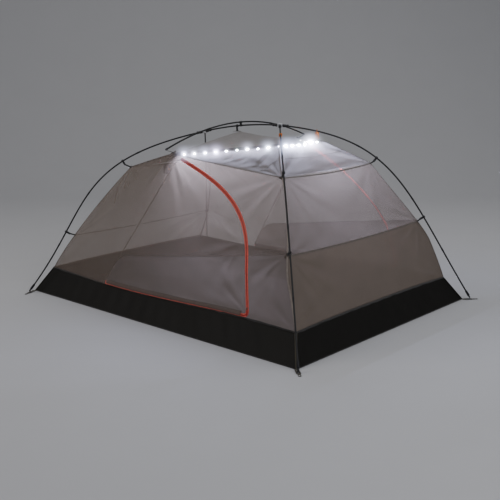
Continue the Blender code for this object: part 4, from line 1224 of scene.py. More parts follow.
def storm_flap(name, side, face, section, body):
    """A narrow flap of door cloth, sewn on above the sill zip, that hangs down over it. face is
    1 outside the door and -1 inside."""
    sill = ZIP_POINTS[CORNER_INDEX:]
    spots = []
    for point, following in zip(sill, sill[1:]):
        if math.dist(point, ZIP_CORNER) > 0.045 and point[0] > HINGE_LOW_X + 0.012:
            direction = unit((following[0] - point[0], following[1] - point[1]))
            upward = (-direction[1], direction[0])
            spots.append((point, upward if upward[1] > 0 else (-upward[0], -upward[1])))
    verts, faces, uvs = [], [], []
    travelled = 0.0
    for k, (point, upward) in enumerate(spots):
        if k:
            travelled += math.dist(point, spots[k - 1][0])
        wave = (0.0007 * math.sin(travelled * 52.0 + side)
                + 0.0005 * math.sin(travelled * 121.0 + 1.3))
        for height, out, loose in section:
            rise = height + wave * loose
            spot = (point[0] + upward[0] * rise, point[1] + upward[1] * rise)
            verts.append(on_wall(spot, side) + wall_normal(*spot, side) * (out + wave * loose))
            uvs.append((travelled, height))
    rows = len(section)
    for k in range(len(spots) - 1):
        for j in range(rows - 1):
            i = k * rows + j
            if side * face < 0:
                faces.append((i, i + 1, i + rows + 1, i + rows))
            else:
                faces.append((i, i + rows, i + rows + 1, i + 1))
    flap = mesh_piece(name, (verts, faces, uvs), [LOWER], "mesh_fabric", body=body,
                      smooth_angle=70.0)
    thicken(flap, 0.0007)


def hinge_tape(place, side):
    """The tape on the sewn side of a door."""
    points, normals = surface_line(HINGE_LINE, side)
    tape = strip(place + "_door_hinge_tape", points, normals, 0.007, 0.0008, NETTING,
                 lift=0.0004, body=None)
    along = (points[-1] - points[0]).normalized()
    across = normals[len(points) // 2].cross(along).normalized()
    if across.x < 0:
        across = -across
    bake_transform(tape)


for place, side in WALLS:
    door = place + "_door"
    wall_cloth(place + "_wall_panel", place + "_wall", side, [WALL_LOOP, WALL_HOLE], WALL_SEAM,
               solid_from=0.0, fans=WALL_FANS, seed=0.4 + side, body="root")
    wall_cloth(door + "_panel", door, side, [DOOR_LOOP], DOOR_SEAM,
               solid_from=-1.0, fans=DOOR_FANS, seed=1.7 + side, body=door)
    zip_band(place + "_zip_frame_tape", 0.0006, ZIP_HALF, side, "root", place + "_zip_frame_side")
    zip_band(place + "_zip_door_tape", -0.0006, -ZIP_HALF, side, door, place + "_zip_door_side")
    zip_teeth(place + "_zip_frame_teeth", side, 1, "root")
    zip_teeth(place + "_zip_door_teeth", side, -1, door)
    storm_flap(place + "_sill_flap", side, 1, OUTER_FLAP, door)
    storm_flap(place + "_sill_lining", side, -1, INNER_FLAP, door)
    hinge_tape(place, side)


# ---------------------------------------------------------------- head and foot walls
def end_surface(across, z, end):
    """A point of an end wall; across runs from -1 to 1 between the long walls' outer edges."""
    x = quadratic(z, end.edge)
    return Vector((x, -wall_y(x, z) * across, z))


def end_normal(across, z, end):
    step = 0.003
    upward = end_surface(across, z + step, end) - end_surface(across, z - step, end)
    sideways = (end_surface(min(1, across + step), z, end)
                - end_surface(max(-1, across - step), z, end))
    normal = sideways.cross(upward).normalized()
    return -normal if normal.x * end.sign < 0 else normal


def end_wall(end, cloths, seam_material, seam_width):
    """An end wall of upper and lower cloth, which meet on an edge at the mid clips."""
    name = end.name + "_wall"
    columns, rows, low_rows = 110, 72, 34
    verts, uvs, normals, base = [], [], [], []
    for j in range(rows + 1):
        for i in range(columns + 1):
            across = lerp(-1, 1, i / columns)
            bottom = tub_top(end.sign * TUB_HALF_LENGTH, 0.77 * across) + 0.0005
            seam = end.mid[2] - 0.012 * (1 - across * across)
            crown = end.up[2] - end.crown_sag * (1 - across * across)
            if j <= low_rows:
                z = lerp(bottom, seam, j / low_rows)
            else:
                z = lerp(seam, crown, (j - low_rows) / (rows - low_rows))
            spot = end_surface(across, z, end)
            base.append(spot)
            normals.append(end_normal(across, z, end))
            uvs.append((spot.y, z * 1.05))
    stride = columns + 1

    def row(j):
        return base[j * stride:(j + 1) * stride]

    borders = [row(0), row(rows), row(low_rows), base[::stride], base[columns::stride]]
    fans = both_sides((
        (end.up, (0.1 * end.sign, -0.45, -0.45), 0.0032, 11, 0.16, 0.6),
        (end.mid, (0, -1.0, 0.15), 0.0030, 11, 0.15, 1.3),
        (end.mid, (0, -1.0, -0.35), 0.0028, 10, 0.15, 2.2),
        ((end.sign * TUB_HALF_LENGTH, 0.77, 0.15), (0, -1.0, 0.4), 0.0030, 10, 0.14, 0.2),
    ))
    heights = wrinkle_height(base, normals, fans, borders, seed=2.0 + end.sign)
    verts = [spot + normal * height for spot, normal, height in zip(base, normals, heights)]
    faces, cloth = [], []
    for j in range(rows):
        for i in range(columns):
            start = j * stride + i
            face = (start, start + 1, start + stride + 1, start + stride)
            faces.append(face if end.sign > 0 else tuple(reversed(face)))
            cloth.append(1 if j < low_rows else 0)
    wall = mesh_piece(name + "_panel", (verts, faces, uvs), cloths, "mesh_fabric", replaces=name,
                      indices=cloth, smooth_angle=180.0)
    thicken(wall, CLOTH_THICK)
    for label, j, material, width in (
        ("seam", low_rows, seam_material, seam_width), ("top_seam", rows, EAVE_BINDING, 0.009),
    ):
        strip(f"{name}_{label}", row(j), normals[j * stride:(j + 1) * stride], width, 0.0010,
              material, lift=0.0003)


# The head wall takes the darker copies of the netting and lower panel: painted shade for that side.
end_wall(HEAD, [NETTING_SHADED_END, LOWER_SHADED_END], BINDING_BROWN, seam_width=0.009)
end_wall(FOOT, [NETTING, NETTING], SOFT_BINDING, seam_width=0.006)

# ---------------------------------------------------------------- ceiling
# Fans of folds: position, direction, height, folds, reach, turn; mirrored by both_sides.
ROOF_FANS = (
    (HEAD_UP, (-0.35, -0.20, 0.15), 0.0048, 11, 0.15, 0.4),
    (FOOT_UP, (0.5, -0.25, 0.2), 0.0055, 11, 0.16, 1.4),
    ((0.0, DOOR_CORNER_Y, DOOR_CORNER_Z), (0.0, -1.0, 0.2), 0.0045, 12, 0.16, 2.4),
    *((roof_at(0.10 + 0.105 * k, -0.985), (0.10 * math.sin(3 * k), 0.5, 0.15),
       0.0024, 9, 0.055, 1.1 * k) for k in range(5)),
    (SEAM_CORNER, (-0.4, 0.3, -0.05), 0.0040, 9, 0.12, 0.9),
    (SEAM_CORNER, (-0.5, -0.2, 0.1), 0.0035, 9, 0.14, 1.9),
)
HOOK_FAN = (tuple(ridge(HOOK_AT) - Vector((0, 0, 0.033))), (0.0, -1.0, 0.0), 0.0040, 9, 0.10, 0.0)


def ceiling_tape(label, points, normals):
    """An eave or crease tape, without points that crowd together."""
    keep = [0]
    for k in range(1, len(points)):
        if (points[k] - points[keep[-1]]).length > 0.006:
            keep.append(k)
    strip("ceiling_" + label, [points[k] for k in keep], [normals[k] for k in keep],
          0.008, 0.0010, EAVE_BINDING, lift=0.0004)


def roof_sheet():
    xs = []
    stops = [FOOT_UP[0], 0.0, SEAM_CORNER[0], HEAD_UP[0]]
    for start, end, steps in zip(stops, stops[1:], (56, 42, 20)):
        xs += [lerp(start, end, i / steps) for i in range(steps)]
    xs.append(stops[-1])
    half_rows = [i / 36 * 0.6 for i in range(36)] + [0.6 + 0.4 * i / 22 for i in range(23)]
    rows = [-r for r in reversed(half_rows[1:])] + half_rows
    base = [Vector(roof_at(x, across)) for x in xs for across in rows]
    stride, count = len(rows), len(xs)
    normals, uvs = [], []
    for i in range(count):
        for j in range(stride):
            along = (base[min(count - 1, i + 1) * stride + j] - base[max(0, i - 1) * stride + j])
            across = base[i * stride + min(stride - 1, j + 1)] - base[i * stride + max(0, j - 1)]
            normal = along.cross(across)
            normal = normal.normalized() if normal.length > 1e-12 else Vector((0, 0, 1))
            normals.append(normal if normal.z > 0 else -normal)
            uvs.append((base[i * stride + j].x, base[i * stride + j].y))
    front_crease, back_crease = [j for j, r in enumerate(rows) if abs(abs(r) - CREASE_ROW) < 1e-9]
    split = xs.index(0.0)
    gable = xs.index(SEAM_CORNER[0])

    def lengthwise(values, j, first=0):
        return [values[i * stride + j] for i in range(first, count)]

    borders = [
        lengthwise(base, 0), lengthwise(base, stride - 1), base[:stride], base[-stride:],
        lengthwise(base, front_crease, split), lengthwise(base, back_crease, split),
    ]
    fans = both_sides(ROOF_FANS) + [HOOK_FAN]
    heights = wrinkle_height(base, normals, fans, borders, seed=3.1, sag=0.0045, pucker=0.0009)
    verts = [spot + normal * height for spot, normal, height in zip(base, normals, heights)]
    faces, cloth = [], []
    for i in range(count - 1):
        for j in range(stride - 1):
            start = i * stride + j
            faces.append((start, start + stride, start + stride + 1, start + 1))
            outer = j < front_crease or j >= back_crease
            cloth.append(1 if (outer and i >= split) or i >= gable else 0)
    roof = mesh_piece("ceiling_sheet", (verts, faces, uvs), [CEILING, LIT_PANEL],
                      "ceiling_fabric", replaces="roof", indices=cloth, smooth_angle=180.0)
    thicken(roof, CLOTH_THICK)
    for label, j, lean in (("eave_front", 0, -0.5), ("eave_back", stride - 1, 0.5)):
        outward = [(normal + Vector((0, lean, 0.2))).normalized()
                   for normal in lengthwise(normals, j)]
        ceiling_tape(label, lengthwise(base, j), outward)
    for label, j in (("crease_front", front_crease), ("crease_back", back_crease)):
        ceiling_tape(label, lengthwise(base, j, split)[1:-1], lengthwise(normals, j, split)[1:-1])
    # seams across the ceiling, where widths of cloth are joined
    for label, seam_x in (("join_head", 0.555), ("join_foot", -0.330)):
        points = []
        for k in range(81):
            across = lerp(-1, 1, k / 80)
            points.append(Vector(roof_at(seam_x + 0.03 * (1 - abs(across)), across)))
        strip("ceiling_" + label, points, [Vector((0, 0, 1))] * 81, 0.007, 0.0008, EAVE_BINDING,
              lift=0.0003)


def corner_tape(place, side, end):
    """The tape on a corner edge of a long wall, from the tub up to the upper clip."""
    points = []
    for i in range(91):
        z = lerp(0.152, end.up[2] - 0.001, i / 90)
        points.append(on_wall((quadratic(z, end.edge), z), side))
    outward = Vector((0.75 * end.sign, -0.65 * side, 0.25))
    strip(f"{place}_{end.name}_corner_tape", points, [outward] * 91, 0.009, 0.0011, SOFT_BINDING,
          lift=-0.0002)


roof_sheet()
for place, side in WALLS:
    for end in (HEAD, FOOT):
        corner_tape(place, side, end)

# ---------------------------------------------------------------- bathtub floor
# Each side of the tub with its outward direction, and the corner at which it starts.
TUB_SIDES = (("front", (0, -1)), ("head", (1, 0)), ("back", (0, 1)), ("foot", (-1, 0)))
TUB_CORNER_NAMES = ("foot_front", "head_front", "head_back", "foot_back")
TUB_ROWS = 16
FLOOR_RINGS = 14


def tub_ring(corners):
    """Points round the floor's edge: x, y, distance along the side, side number, share."""
    ring = []
    for k in range(4):
        start, end = corners[k], corners[(k + 1) % 4]
        count = int(math.dist(start, end) / 0.016)
        for i in range(count):
            share = i / count
            ring.append((lerp(start[0], end[0], share), lerp(start[1], end[1], share),
                         share * math.dist(start, end), k, share))
    return ring


def tub_wall_point(x, y, along, k, share, side_length, row):
    """A point of the folded-up wall, with vertical folds that gather near the corners."""
    rise = row / TUB_ROWS
    top_x = x * TUB_HALF_LENGTH / FLOOR_HALF_LENGTH
    top_y = y * tub_width(top_x) / floor_width(x)
    top_z = tub_top(top_x, top_y if abs(x) > FLOOR_HALF_LENGTH - 0.001 else None)
    spot = Vector((lerp(x, top_x, rise), lerp(y, top_y, rise), lerp(0.0012, top_z, rise)))
    corner = min(share, 1 - share) * side_length
    hold = smooth(0.0, 0.05, corner)
    swell = math.sin(PI * rise) ** 0.8
    gathered = math.sin(along / 0.032 + 1.3 * math.sin(along * 9 + k))
    fold = 0.0042 * gathered * math.exp(-corner / 0.17) * 1.6
    fold += (0.0022 * math.sin(along / 0.055 + k * 1.7 + 2.0 * math.sin(along * 3.1))
             + 0.0012 * math.sin(along / 0.019 + rise * 3))
    droop = -0.0035 * math.sin(PI * rise)
    spot += Vector((*TUB_SIDES[k][1], 0)) * (fold * swell * hold + droop * hold)
    top_share = 1 if row < TUB_ROWS else 0.4
    spot.z += 0.0012 * math.sin(along / 0.021 + k) * rise * hold * top_share
    return spot


def tub():
    """Floor and folded-up walls as one sheet, with its bindings and corner webbing."""
    corners = [(sign_x * FLOOR_HALF_LENGTH, sign_y * floor_width(sign_x * FLOOR_HALF_LENGTH))
               for sign_x, sign_y in ((-1, -1), (1, -1), (1, 1), (-1, 1))]
    lengths = [math.dist(corners[k], corners[(k + 1) % 4]) for k in range(4)]
    ring = tub_ring(corners)
    count = len(ring)
    verts, uvs, faces = [], [], []
    for j in range(TUB_ROWS + 1):
        for x, y, along, k, share in ring:
            verts.append(tub_wall_point(x, y, along, k, share, lengths[k], j))
            uvs.append((along + k * 2.5, j / TUB_ROWS * 0.19))
    for j in range(TUB_ROWS):
        for i in range(count):
            here, beyond = j * count + i, j * count + (i + 1) % count
            faces.append((here, beyond, beyond + count, here + count))
    # the floor: rings that shrink to its middle keep the sheet continuous
    previous = list(range(count))
    for r in range(1, FLOOR_RINGS):
        shrink = 1 - r / FLOOR_RINGS
        ring_now = list(range(len(verts), len(verts) + count))
        for x, y, *_ in ring:
            ripple = (0.0016 * math.sin(x * 19 * shrink + 1.1) * math.sin(y * 23 * shrink + 0.4)
                      + 0.0018)
            verts.append(Vector((x * shrink, y * shrink, 0.0010 + abs(ripple))))
            uvs.append((x * shrink, y * shrink))
        for i in range(count):
            j = (i + 1) % count
            faces.append((previous[j], previous[i], ring_now[i], ring_now[j]))
        previous = ring_now
    centre = len(verts)
    verts.append(Vector((0.0, 0.0, 0.0010)))
    uvs.append((0.0, 0.0))
    for i in range(count):
        faces.append((previous[(i + 1) % count], previous[i], centre))
    sheet = mesh_piece("tub_sheet", (verts, faces, uvs), [TUB], "tub_fabric",
                       replaces="tub_floor", smooth_angle=60.0)
    face_outwards(sheet.data)
    thicken(sheet, 0.0009)

    starts = [next(i for i, spot in enumerate(ring) if spot[3] == k) for k in range(4)]
    top = verts[TUB_ROWS * count:(TUB_ROWS + 1) * count]
    top.append(top[0])
    for k, (label, out) in enumerate(TUB_SIDES):
        points = top[starts[k]:(starts + [count])[k + 1] + 1]
        strip(f"tub_{label}_binding", points, [Vector((*out, 0.35))] * len(points),
              0.011, 0.0012, BINDING, lift=-0.0002)
    for k, (x, y) in enumerate(corners):
        points = [verts[j * count + starts[k]] for j in range(TUB_ROWS + 1)]
        out = Vector((math.copysign(1, x), math.copysign(1, y), 0.5))
        strip("tub_corner_webbing_" + TUB_CORNER_NAMES[k], points, [out] * len(points),
              0.014, 0.0014, OLIVE_WEB, lift=0.0002)
    for k, (label, out) in enumerate(TUB_SIDES):
        start, end = corners[k], corners[(k + 1) % 4]
        points = [Vector((lerp(start[0], end[0], i / 60), lerp(start[1], end[1], i / 60), 0.0035))
                  for i in range(61)]
        strip(f"tub_{label}_base_seam", points, [Vector((*out, 0.3))] * 61, 0.005, 0.0010,
              BINDING, lift=-0.0004)


tub()

# ---------------------------------------------------------------- poles
# Scale of the pole's radius along a ferrule and along a collar.
FERRULE_SCALE = [0.98, 1.10, 1.13, 1.13, 1.13, 1.13, 1.13, 1.10,
                 1.13, 1.13, 1.13, 1.13, 1.13, 1.10, 0.98]
COLLAR_SCALE = [0.86, 0.98, 1.0, 1.0, 1.0, 1.0, 1.0, 1.0, 1.0, 0.98, 0.86]


def pole(name, line, cad_node, joints, body="root"):
    """A tube with ferrules at the given shares of its length."""
    build = Build().add(tube(line, POLE_R, 16))
    spots = resample(line, 0.002)
    for share in joints:
        k = int(share * (len(spots) - 1))
        k = min(max(k, 8), len(spots) - 9)
        build.add(tube(spots[k - 7:k + 8], POLE_R, 16, FERRULE_SCALE), 1)
    build.piece(name, [POLE, FERRULE], "pole", body=body, replaces=cad_node, smooth_angle=35.0)


for corner, end, y_sign in CORNERS:
    leg = mirrored(end.leg, y_sign)
    middle = at_height(leg, POLE_JOIN_Z)
    lower = [bezier(leg, lerp(0.0135, middle - 0.0003, i / 60)) for i in range(61)]
    upper = [bezier(leg, lerp(middle + 0.0003, 0.986, i / 80)) for i in range(81)]
    pole("pole_lower_" + corner, lower, "leg_lower_" + corner, (0.48,))
    pole("pole_upper_" + corner, upper, "leg_upper_" + corner, (0.03, 0.52))
pole("ridge_tube", [ridge(lerp(0.045, 0.955, i / 50)) for i in range(51)], "ridge_pole",
     (0.03, 0.97))
pole("brow_tube", [brow(lerp(-BROW_TIP_Y, BROW_TIP_Y, i / 90)) for i in range(91)], "brow_pole",
     (0.28, 0.72), body="brow")

# The turned profiles below are (radius, height along the axis).
# End cap of the brow pole, with the bead that the strap hooks over.
BROW_TIP_PROFILE = (
    (0.0, -0.014), (0.0053, -0.014), (0.0062, -0.012), (0.0062, -0.004), (0.0050, -0.002),
    (0.0050, 0.0), (0.0060, 0.002), (0.0052, 0.0045), (0.0, 0.0055),
)
for label, sign in Y_SIGNS:
    tip = brow(sign * BROW_TIP_Y)
    slope = (tip - brow(sign * (BROW_TIP_Y - 0.01))).normalized()
    Build().add(lathe(BROW_TIP_PROFILE, 20),
                place=Matrix.Translation(tip) @ frame_from(slope, (1, 0, 0))).piece(
        f"brow_tip_{label}", [RUBBER], "clip_plastic", body="brow")

HUB_PROFILE = (
    (0.0, -0.0118), (0.0100, -0.0118), (0.0112, -0.0108), (0.0150, -0.0104), (0.0170, -0.0086),
    (0.0170, -0.0030), (0.0162, -0.0022), (0.0162, 0.0022), (0.0170, 0.0030), (0.0170, 0.0086),
    (0.0150, 0.0104), (0.0128, 0.0106), (0.0118, 0.0098), (0.0075, 0.0098), (0.0068, 0.0112),
    (0.0050, 0.0120), (0.0, 0.0122),
)
SOCKET_PROFILE = (
    (0.0, 0.004), (0.0090, 0.004), (0.0090, 0.017), (0.0082, 0.019), (0.0082, 0.034),
    (0.0086, 0.035), (0.0086, 0.038), (0.0082, 0.039), (0.0082, 0.044), (0.0090, 0.046),
    (0.0094, 0.049), (0.0092, 0.0535), (0.0082, 0.0545), (0.0064, 0.0545), (0.0062, 0.052),
    (0.0062, 0.030), (0.0, 0.030),
)
SOCKET_RIBS = 3


def hub(end, ridge_direction):
    """Chamfered body with a rivet, and a collared socket for each pole."""
    centre = Matrix.Translation(Vector(end.leg[3]))
    slopes = [-bezier_slope(mirrored(end.leg, y_sign), 1.0) for y_sign in (-1, 1)]
    build = Build().add(lathe(HUB_PROFILE, 36), place=centre)
    for slope in slopes + [ridge_direction]:
        turn = centre @ frame_from(slope.normalized(), (0, 0, 1))
        build.add(lathe(SOCKET_PROFILE, 28), 1, turn)
        for k in range(SOCKET_RIBS):
            rib = rounded_box((0.0022, 0.0030, 0.016), 0.0006, (0.0086, 0.0, 0.0265))
            spin = Matrix.Rotation(2 * PI * k / SOCKET_RIBS + PI / 3, 4, "Z")
            build.add(rib, 1, turn @ spin)
    build.piece(end.name + "_hub_body", [HUB, CLIP], "hub", replaces=end.name + "_hub",
                smooth_angle=32.0)


def swivel():
    """Swivel between the ridge and the brow pole: a waisted post with a saddle under the brow
    pole, and a collar on the ridge pole."""
    low, high = RIDGE_MID_Z + POLE_R, BROW_Z - POLE_R
    span = high - low
    profile = (
        (0.0, 0.0010), (0.0072, 0.0010), (0.0085, 0.0022), (0.0085, span * 0.30),
        (0.0066, span * 0.42), (0.0066, span * 0.58), (0.0085, span * 0.70),
        (0.0085, span - 0.0016), (0.0074, span - 0.0006), (0.0, span - 0.0006),
    )
    build = Build().add(lathe(profile), place=Matrix.Translation((0, 0, low)))
    saddle = [brow(lerp(-0.013, 0.013, i / 10)) for i in range(11)]
    build.add(tube(saddle, 0.0064, 20, COLLAR_SCALE))
    build.piece("brow_swivel_body", [CLIP], "clip_plastic", body="brow", replaces="brow_swivel",
                smooth_angle=32.0)
    collar = [ridge(0.5 + lerp(-0.019, 0.019, i / 10)) for i in range(11)]
    Build().add(tube(collar, 0.0062, 20, COLLAR_SCALE)).piece(
        "ridge_collar", [CLIP], "clip_plastic", smooth_angle=32.0)


hub(HEAD, -ridge_slope(1.0))
hub(FOOT, ridge_slope(0.0))
swivel()

POLE_FOOT_PROFILE = (
    (0.0, 0.020), (0.0056, 0.020), (0.0056, 0.0460), (0.0070, 0.0470), (0.0079, 0.0455),
    (0.0079, 0.0420), (0.0072, 0.0410), (0.0072, 0.0360), (0.0078, 0.0350), (0.0078, 0.0200),
    (0.0070, 0.0165), (0.0088, 0.0150), (0.0088, 0.0130), (0.0052, 0.0100), (0.0050, -0.0030),
    (0.0040, -0.0060), (0.0022, -0.0080), (0.0, -0.0085),
)
for corner, end, y_sign in CORNERS:
    leg = mirrored(end.leg, y_sign)
    turn = Matrix.Translation(bezier(leg, 0.0)) @ frame_from(bezier_slope(leg, 0.01), (1, 0, 0))
    Build().add(lathe(POLE_FOOT_PROFILE), place=turn).piece(
        "pole_foot_" + corner, [FOOT_ALLOY], "clip_plastic", replaces="leg_foot_" + corner,
        smooth_angle=30.0)

# ---------------------------------------------------------------- clips and their webbing
CLIP_OUTER_R, CLIP_INNER_R = 0.0092, 0.0058
# Outlines in the clip's own XY: X runs from the pole's centre towards the fabric.
CLIP_STEM = [(0.0105, -0.0048), (0.0160, -0.0048), (0.0190, -0.0064), (0.0285, -0.0064),
             (0.0298, -0.0052), (0.0298, 0.0052), (0.0285, 0.0064), (0.0190, 0.0064),
             (0.0160, 0.0048), (0.0105, 0.0048)]
CLIP_SLOT = [(0.0218, -0.0044), (0.0262, -0.0044), (0.0262, 0.0044), (0.0218, 0.0044)]


def arc(radius, first, last, count):
    """Points on a circle between two angles in degrees."""
    return [(radius * math.cos(math.radians(angle)), radius * math.sin(math.radians(angle)))
            for angle in np.linspace(first, last, count)]


def clip_outline():
    ring = [p for p in arc(CLIP_OUTER_R, -146, 146, 41) if not (abs(p[1]) < 0.0052 and p[0] > 0)]
    lip_x = CLIP_OUTER_R * math.cos(math.radians(152)) * 1.12
    lip_y = CLIP_OUTER_R * math.sin(math.radians(152)) * 1.25
    return ([(lip_x, -lip_y)] + [p for p in ring if p[1] < 0] + CLIP_STEM
            + [p for p in ring if p[1] >= 0] + [(lip_x, lip_y)]
            + arc(CLIP_INNER_R, 146, -146, 33))


def clip(name, leg, height, fabric_at):
    """A hook that snaps on a leg, and its webbing, sewn down to the fabric's corner."""
    share = at_height(leg, height)
    centre = bezier(leg, share)
    anchor = Vector(fabric_at)
    place = Matrix.Translation(centre) @ frame_from(bezier_slope(leg, share), anchor - centre)
    build = Build().add(plate([clip_outline(), CLIP_SLOT], 0.0055, 0.0007), place=place)
    for z in (0.0062, -0.0062):
        rib = rounded_box((0.0070, 0.0024, 0.0024), 0.0007, (0.0150, 0, z))
        build.add(rib, place=place)
    build.piece(name + "_hook", [CLIP], "clip_plastic", body=name, replaces=name,
                smooth_angle=35.0)
    slot_at = place @ Vector((0.0268, 0, 0))
    direction = (anchor - slot_at).normalized()
    normal = (place.to_3x3() @ Vector((0, 1, 0))).normalized()
    path = [slot_at.lerp(anchor + direction * 0.004, i / 16)
            + normal * (0.0010 * math.sin(PI * i / 16)) for i in range(17)]
    strap = mesh_piece(name + "_strap", sweep(path, flat_section(0.0086, 0.0016), up=normal),
                       [DARK_WEB], "webbing", body=None, smooth_angle=50.0)
    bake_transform(strap)


PATCH_LEVELS = ((1.0, 0.0), (1.0, 0.0006), (0.75, 0.0010), (0.35, 0.0012))  # share, height


def patch(name, centre, normal, along, radius):
    """A sewn reinforcement: a rounded triangle, slightly domed."""
    normal = Vector(normal).normalized()
    ahead = (Vector(along) - normal * Vector(along).dot(normal)).normalized()
    beside = normal.cross(ahead)
    count = 24
    verts, uvs, faces = [], [], []
    for share, height in PATCH_LEVELS:
        for i in range(count):
            angle = 2 * PI * i / count
            reach = radius * (0.78 + 0.22 * math.cos(3 * angle)) * share
            x, y = reach * math.cos(angle), reach * math.sin(angle)
            verts.append(Vector(centre) + ahead * x + beside * y + normal * height)
            uvs.append((x, y))
    for k in range(3):
        for i in range(count):
            j = (i + 1) % count
            faces.append((k * count + i, k * count + j, (k + 1) * count + j, (k + 1) * count + i))
    faces.append(tuple(reversed(range(count))))
    faces.append(tuple(range(3 * count, 4 * count)))
    Build().add((verts, faces, uvs)).piece(name, [BINDING_BROWN], "webbing", smooth_angle=50.0)


for corner, end, y_sign in CORNERS:
    leg = mirrored(end.leg, y_sign)
    mid, up = mirrored((end.mid, end.up), y_sign)
    clip("mid_clip_" + corner, leg, end.mid_clip_z, mid)
    clip("upper_clip_" + corner, leg, end.upper_clip_z, up)
    for label, spot, tilt in (("mid", mid, 0.30), ("upper", up, 0.5)):
        out = Vector((0.72 * end.sign, 0.62 * y_sign, tilt)).normalized()
        patch(f"{label}_patch_{corner}", Vector(spot) - out * 0.0004, out,
              (-end.sign, -y_sign * 0.4, -0.5), 0.019)

# ---------------------------------------------------------------- corner webbing, stake loops
STRAP_HALF = 0.0125
GROUND_WEB_Z = 0.0014
GROMMET = (  # closed (radius, height) profile
    (0.0068, -0.0014), (0.0105, -0.0012), (0.0112, -0.0002), (0.0112, 0.0004),
    (0.0104, 0.0016), (0.0082, 0.0022), (0.0066, 0.0016), (0.0063, 0.0002),
)
# Outlines of a stake loop and of its eye; X points away from the tent.
LOOP_OUTLINE = [(0.0006, -0.0080), (0.026, -0.0080), (0.0305, -0.0066), (0.0332, -0.0034),
                (0.0340, 0.0), (0.0332, 0.0034), (0.0305, 0.0066), (0.026, 0.0080),
                (0.0006, 0.0080)]
LOOP_EYE = [(0.0058, -0.0042), (0.0245, -0.0042), (0.0278, -0.0028), (0.0290, 0.0),
            (0.0278, 0.0028), (0.0245, 0.0042), (0.0058, 0.0042)]


def ground_webbing(corner, end, y_sign):
    """The strap from a floor corner to the pole's foot, and the stake loop beyond it."""
    leg_foot = mirrored(end.leg, y_sign)[0]
    floor_x = end.sign * FLOOR_HALF_LENGTH
    eyelet = Vector((leg_foot[0], leg_foot[1], 0))
    run = eyelet - Vector((floor_x, y_sign * floor_width(floor_x), 0))
    start = -run.length + 0.002
    run.normalize()
    half = STRAP_HALF
    hole = [(x, y) for x, y, _ in circle_at(0.0070, 0.0, 24)]
    outer = [(start, -half), (0.014, -half), (0.0182, -half + 0.0014), (0.020, -half + 0.005),
             (0.020, half - 0.005), (0.0182, half - 0.0014), (0.014, half), (start, half)]
    turn = frame_from((0, 0, 1), run)
    middle = Vector((eyelet.x, eyelet.y, GROUND_WEB_Z))
    place = Matrix.Translation(middle) @ turn
    build = Build().add(flat_mapped(plate([outer, hole], 0.0010, 0.0003, 1)), 0, place)
    build.add(turned_ring(GROMMET, 28), 1, place)
    build.piece("corner_webbing_" + corner, [OLIVE_WEB, FOOT_ALLOY], "webbing",
                replaces="corner_strap_" + corner)
    place = Matrix.Translation(middle + run * 0.0215) @ turn
    loop = flat_mapped(plate([LOOP_OUTLINE, LOOP_EYE], 0.0009, 0.0003, 1))
    Build().add(loop, 0, place).piece(
        "stake_loop_tape_" + corner, [OLIVE_WEB], "webbing", body="stake_loop_" + corner,
        replaces="stake_loop_" + corner)


for corner, end, y_sign in CORNERS:
    ground_webbing(corner, end, y_sign)


# ---------------------------------------------------------------- straps from fabric to poles
def brow_strap(label, sign):
    start = Vector((0, sign * DOOR_CORNER_Y, 0.9935))
    end = Vector((0, sign * 0.6490, 1.0095))
    path = [start.lerp(end, i / 12) + Vector((0, 0, 0.0012 * math.sin(PI * i / 12)))
            for i in range(13)]
    shape = sweep(path, flat_section(0.012, 0.0014), up=Vector((0, 0, 1)))
    mesh_piece("brow_strap_tape_" + label, shape, [DARK_WEB], "webbing",
               replaces="brow_strap_" + label, smooth_angle=50.0)
    patch("brow_patch_" + label, Vector((0.0, sign * 0.5975, 0.9925)), (0, sign * 0.55, 0.83),
          (0, -sign, 0), 0.022)


def head_tab(label, sign):
    """An orange tab from a head leg down to the seam corner, with a band round the pole."""
    leg = mirrored(HEAD_LEG, sign)
    on_leg = bezier(leg, 0.885)
    along_leg = bezier_slope(leg, 0.885)
    start = on_leg - Vector((0, 0, 0.0068))
    end = Vector((SEAM_CORNER[0], SEAM_CORNER[1] * sign, SEAM_CORNER[2] + 0.0035))
    run = (end - start).normalized()
    up = along_leg.cross(run).normalized()
    if up.z < 0:
        up = -up
    path = [start.lerp(end, i / 14) for i in range(15)]
    build = Build().add(sweep(path, flat_section(0.026, 0.0014), up=up))
    beside = run.cross(along_leg).cross(along_leg).normalized()
    band = [on_leg + (Vector((0, 0, 1)) * math.sin(angle) + beside * -math.cos(angle)) * 0.0066
            for angle in np.linspace(-0.5 * PI, 1.5 * PI, 33)]
    build.add(sweep(band, flat_section(0.020, 0.0010), up=[spot - on_leg for spot in band]))
    build.piece("head_tab_tape_" + label, [ORANGE_WEB], "orange_webbing",
                replaces="head_tab_" + label, smooth_angle=50.0)
    patch("seam_patch_" + label, end + Vector((0, 0, -0.0012)), (0.12, sign * 0.25, 1),
          (-1, -0.3 * sign, 0), 0.024)


HOOK_R, HOOK_INNER_R = 0.0088, 0.0056
HOOK_STEM = [(-0.0068, -0.0120), (-0.0066, -0.0240), (-0.0064, -0.0310), (-0.0006, -0.0310),
             (-0.0004, -0.0200), (-0.0014, -0.0085)]
HOOK_BASE_PROFILE = ((0.0, -0.004), (0.010, -0.004), (0.0125, -0.0026), (0.0125, -0.0014),
                     (0.009, 0.0), (0.005, 0.0030), (0.0, 0.0034))


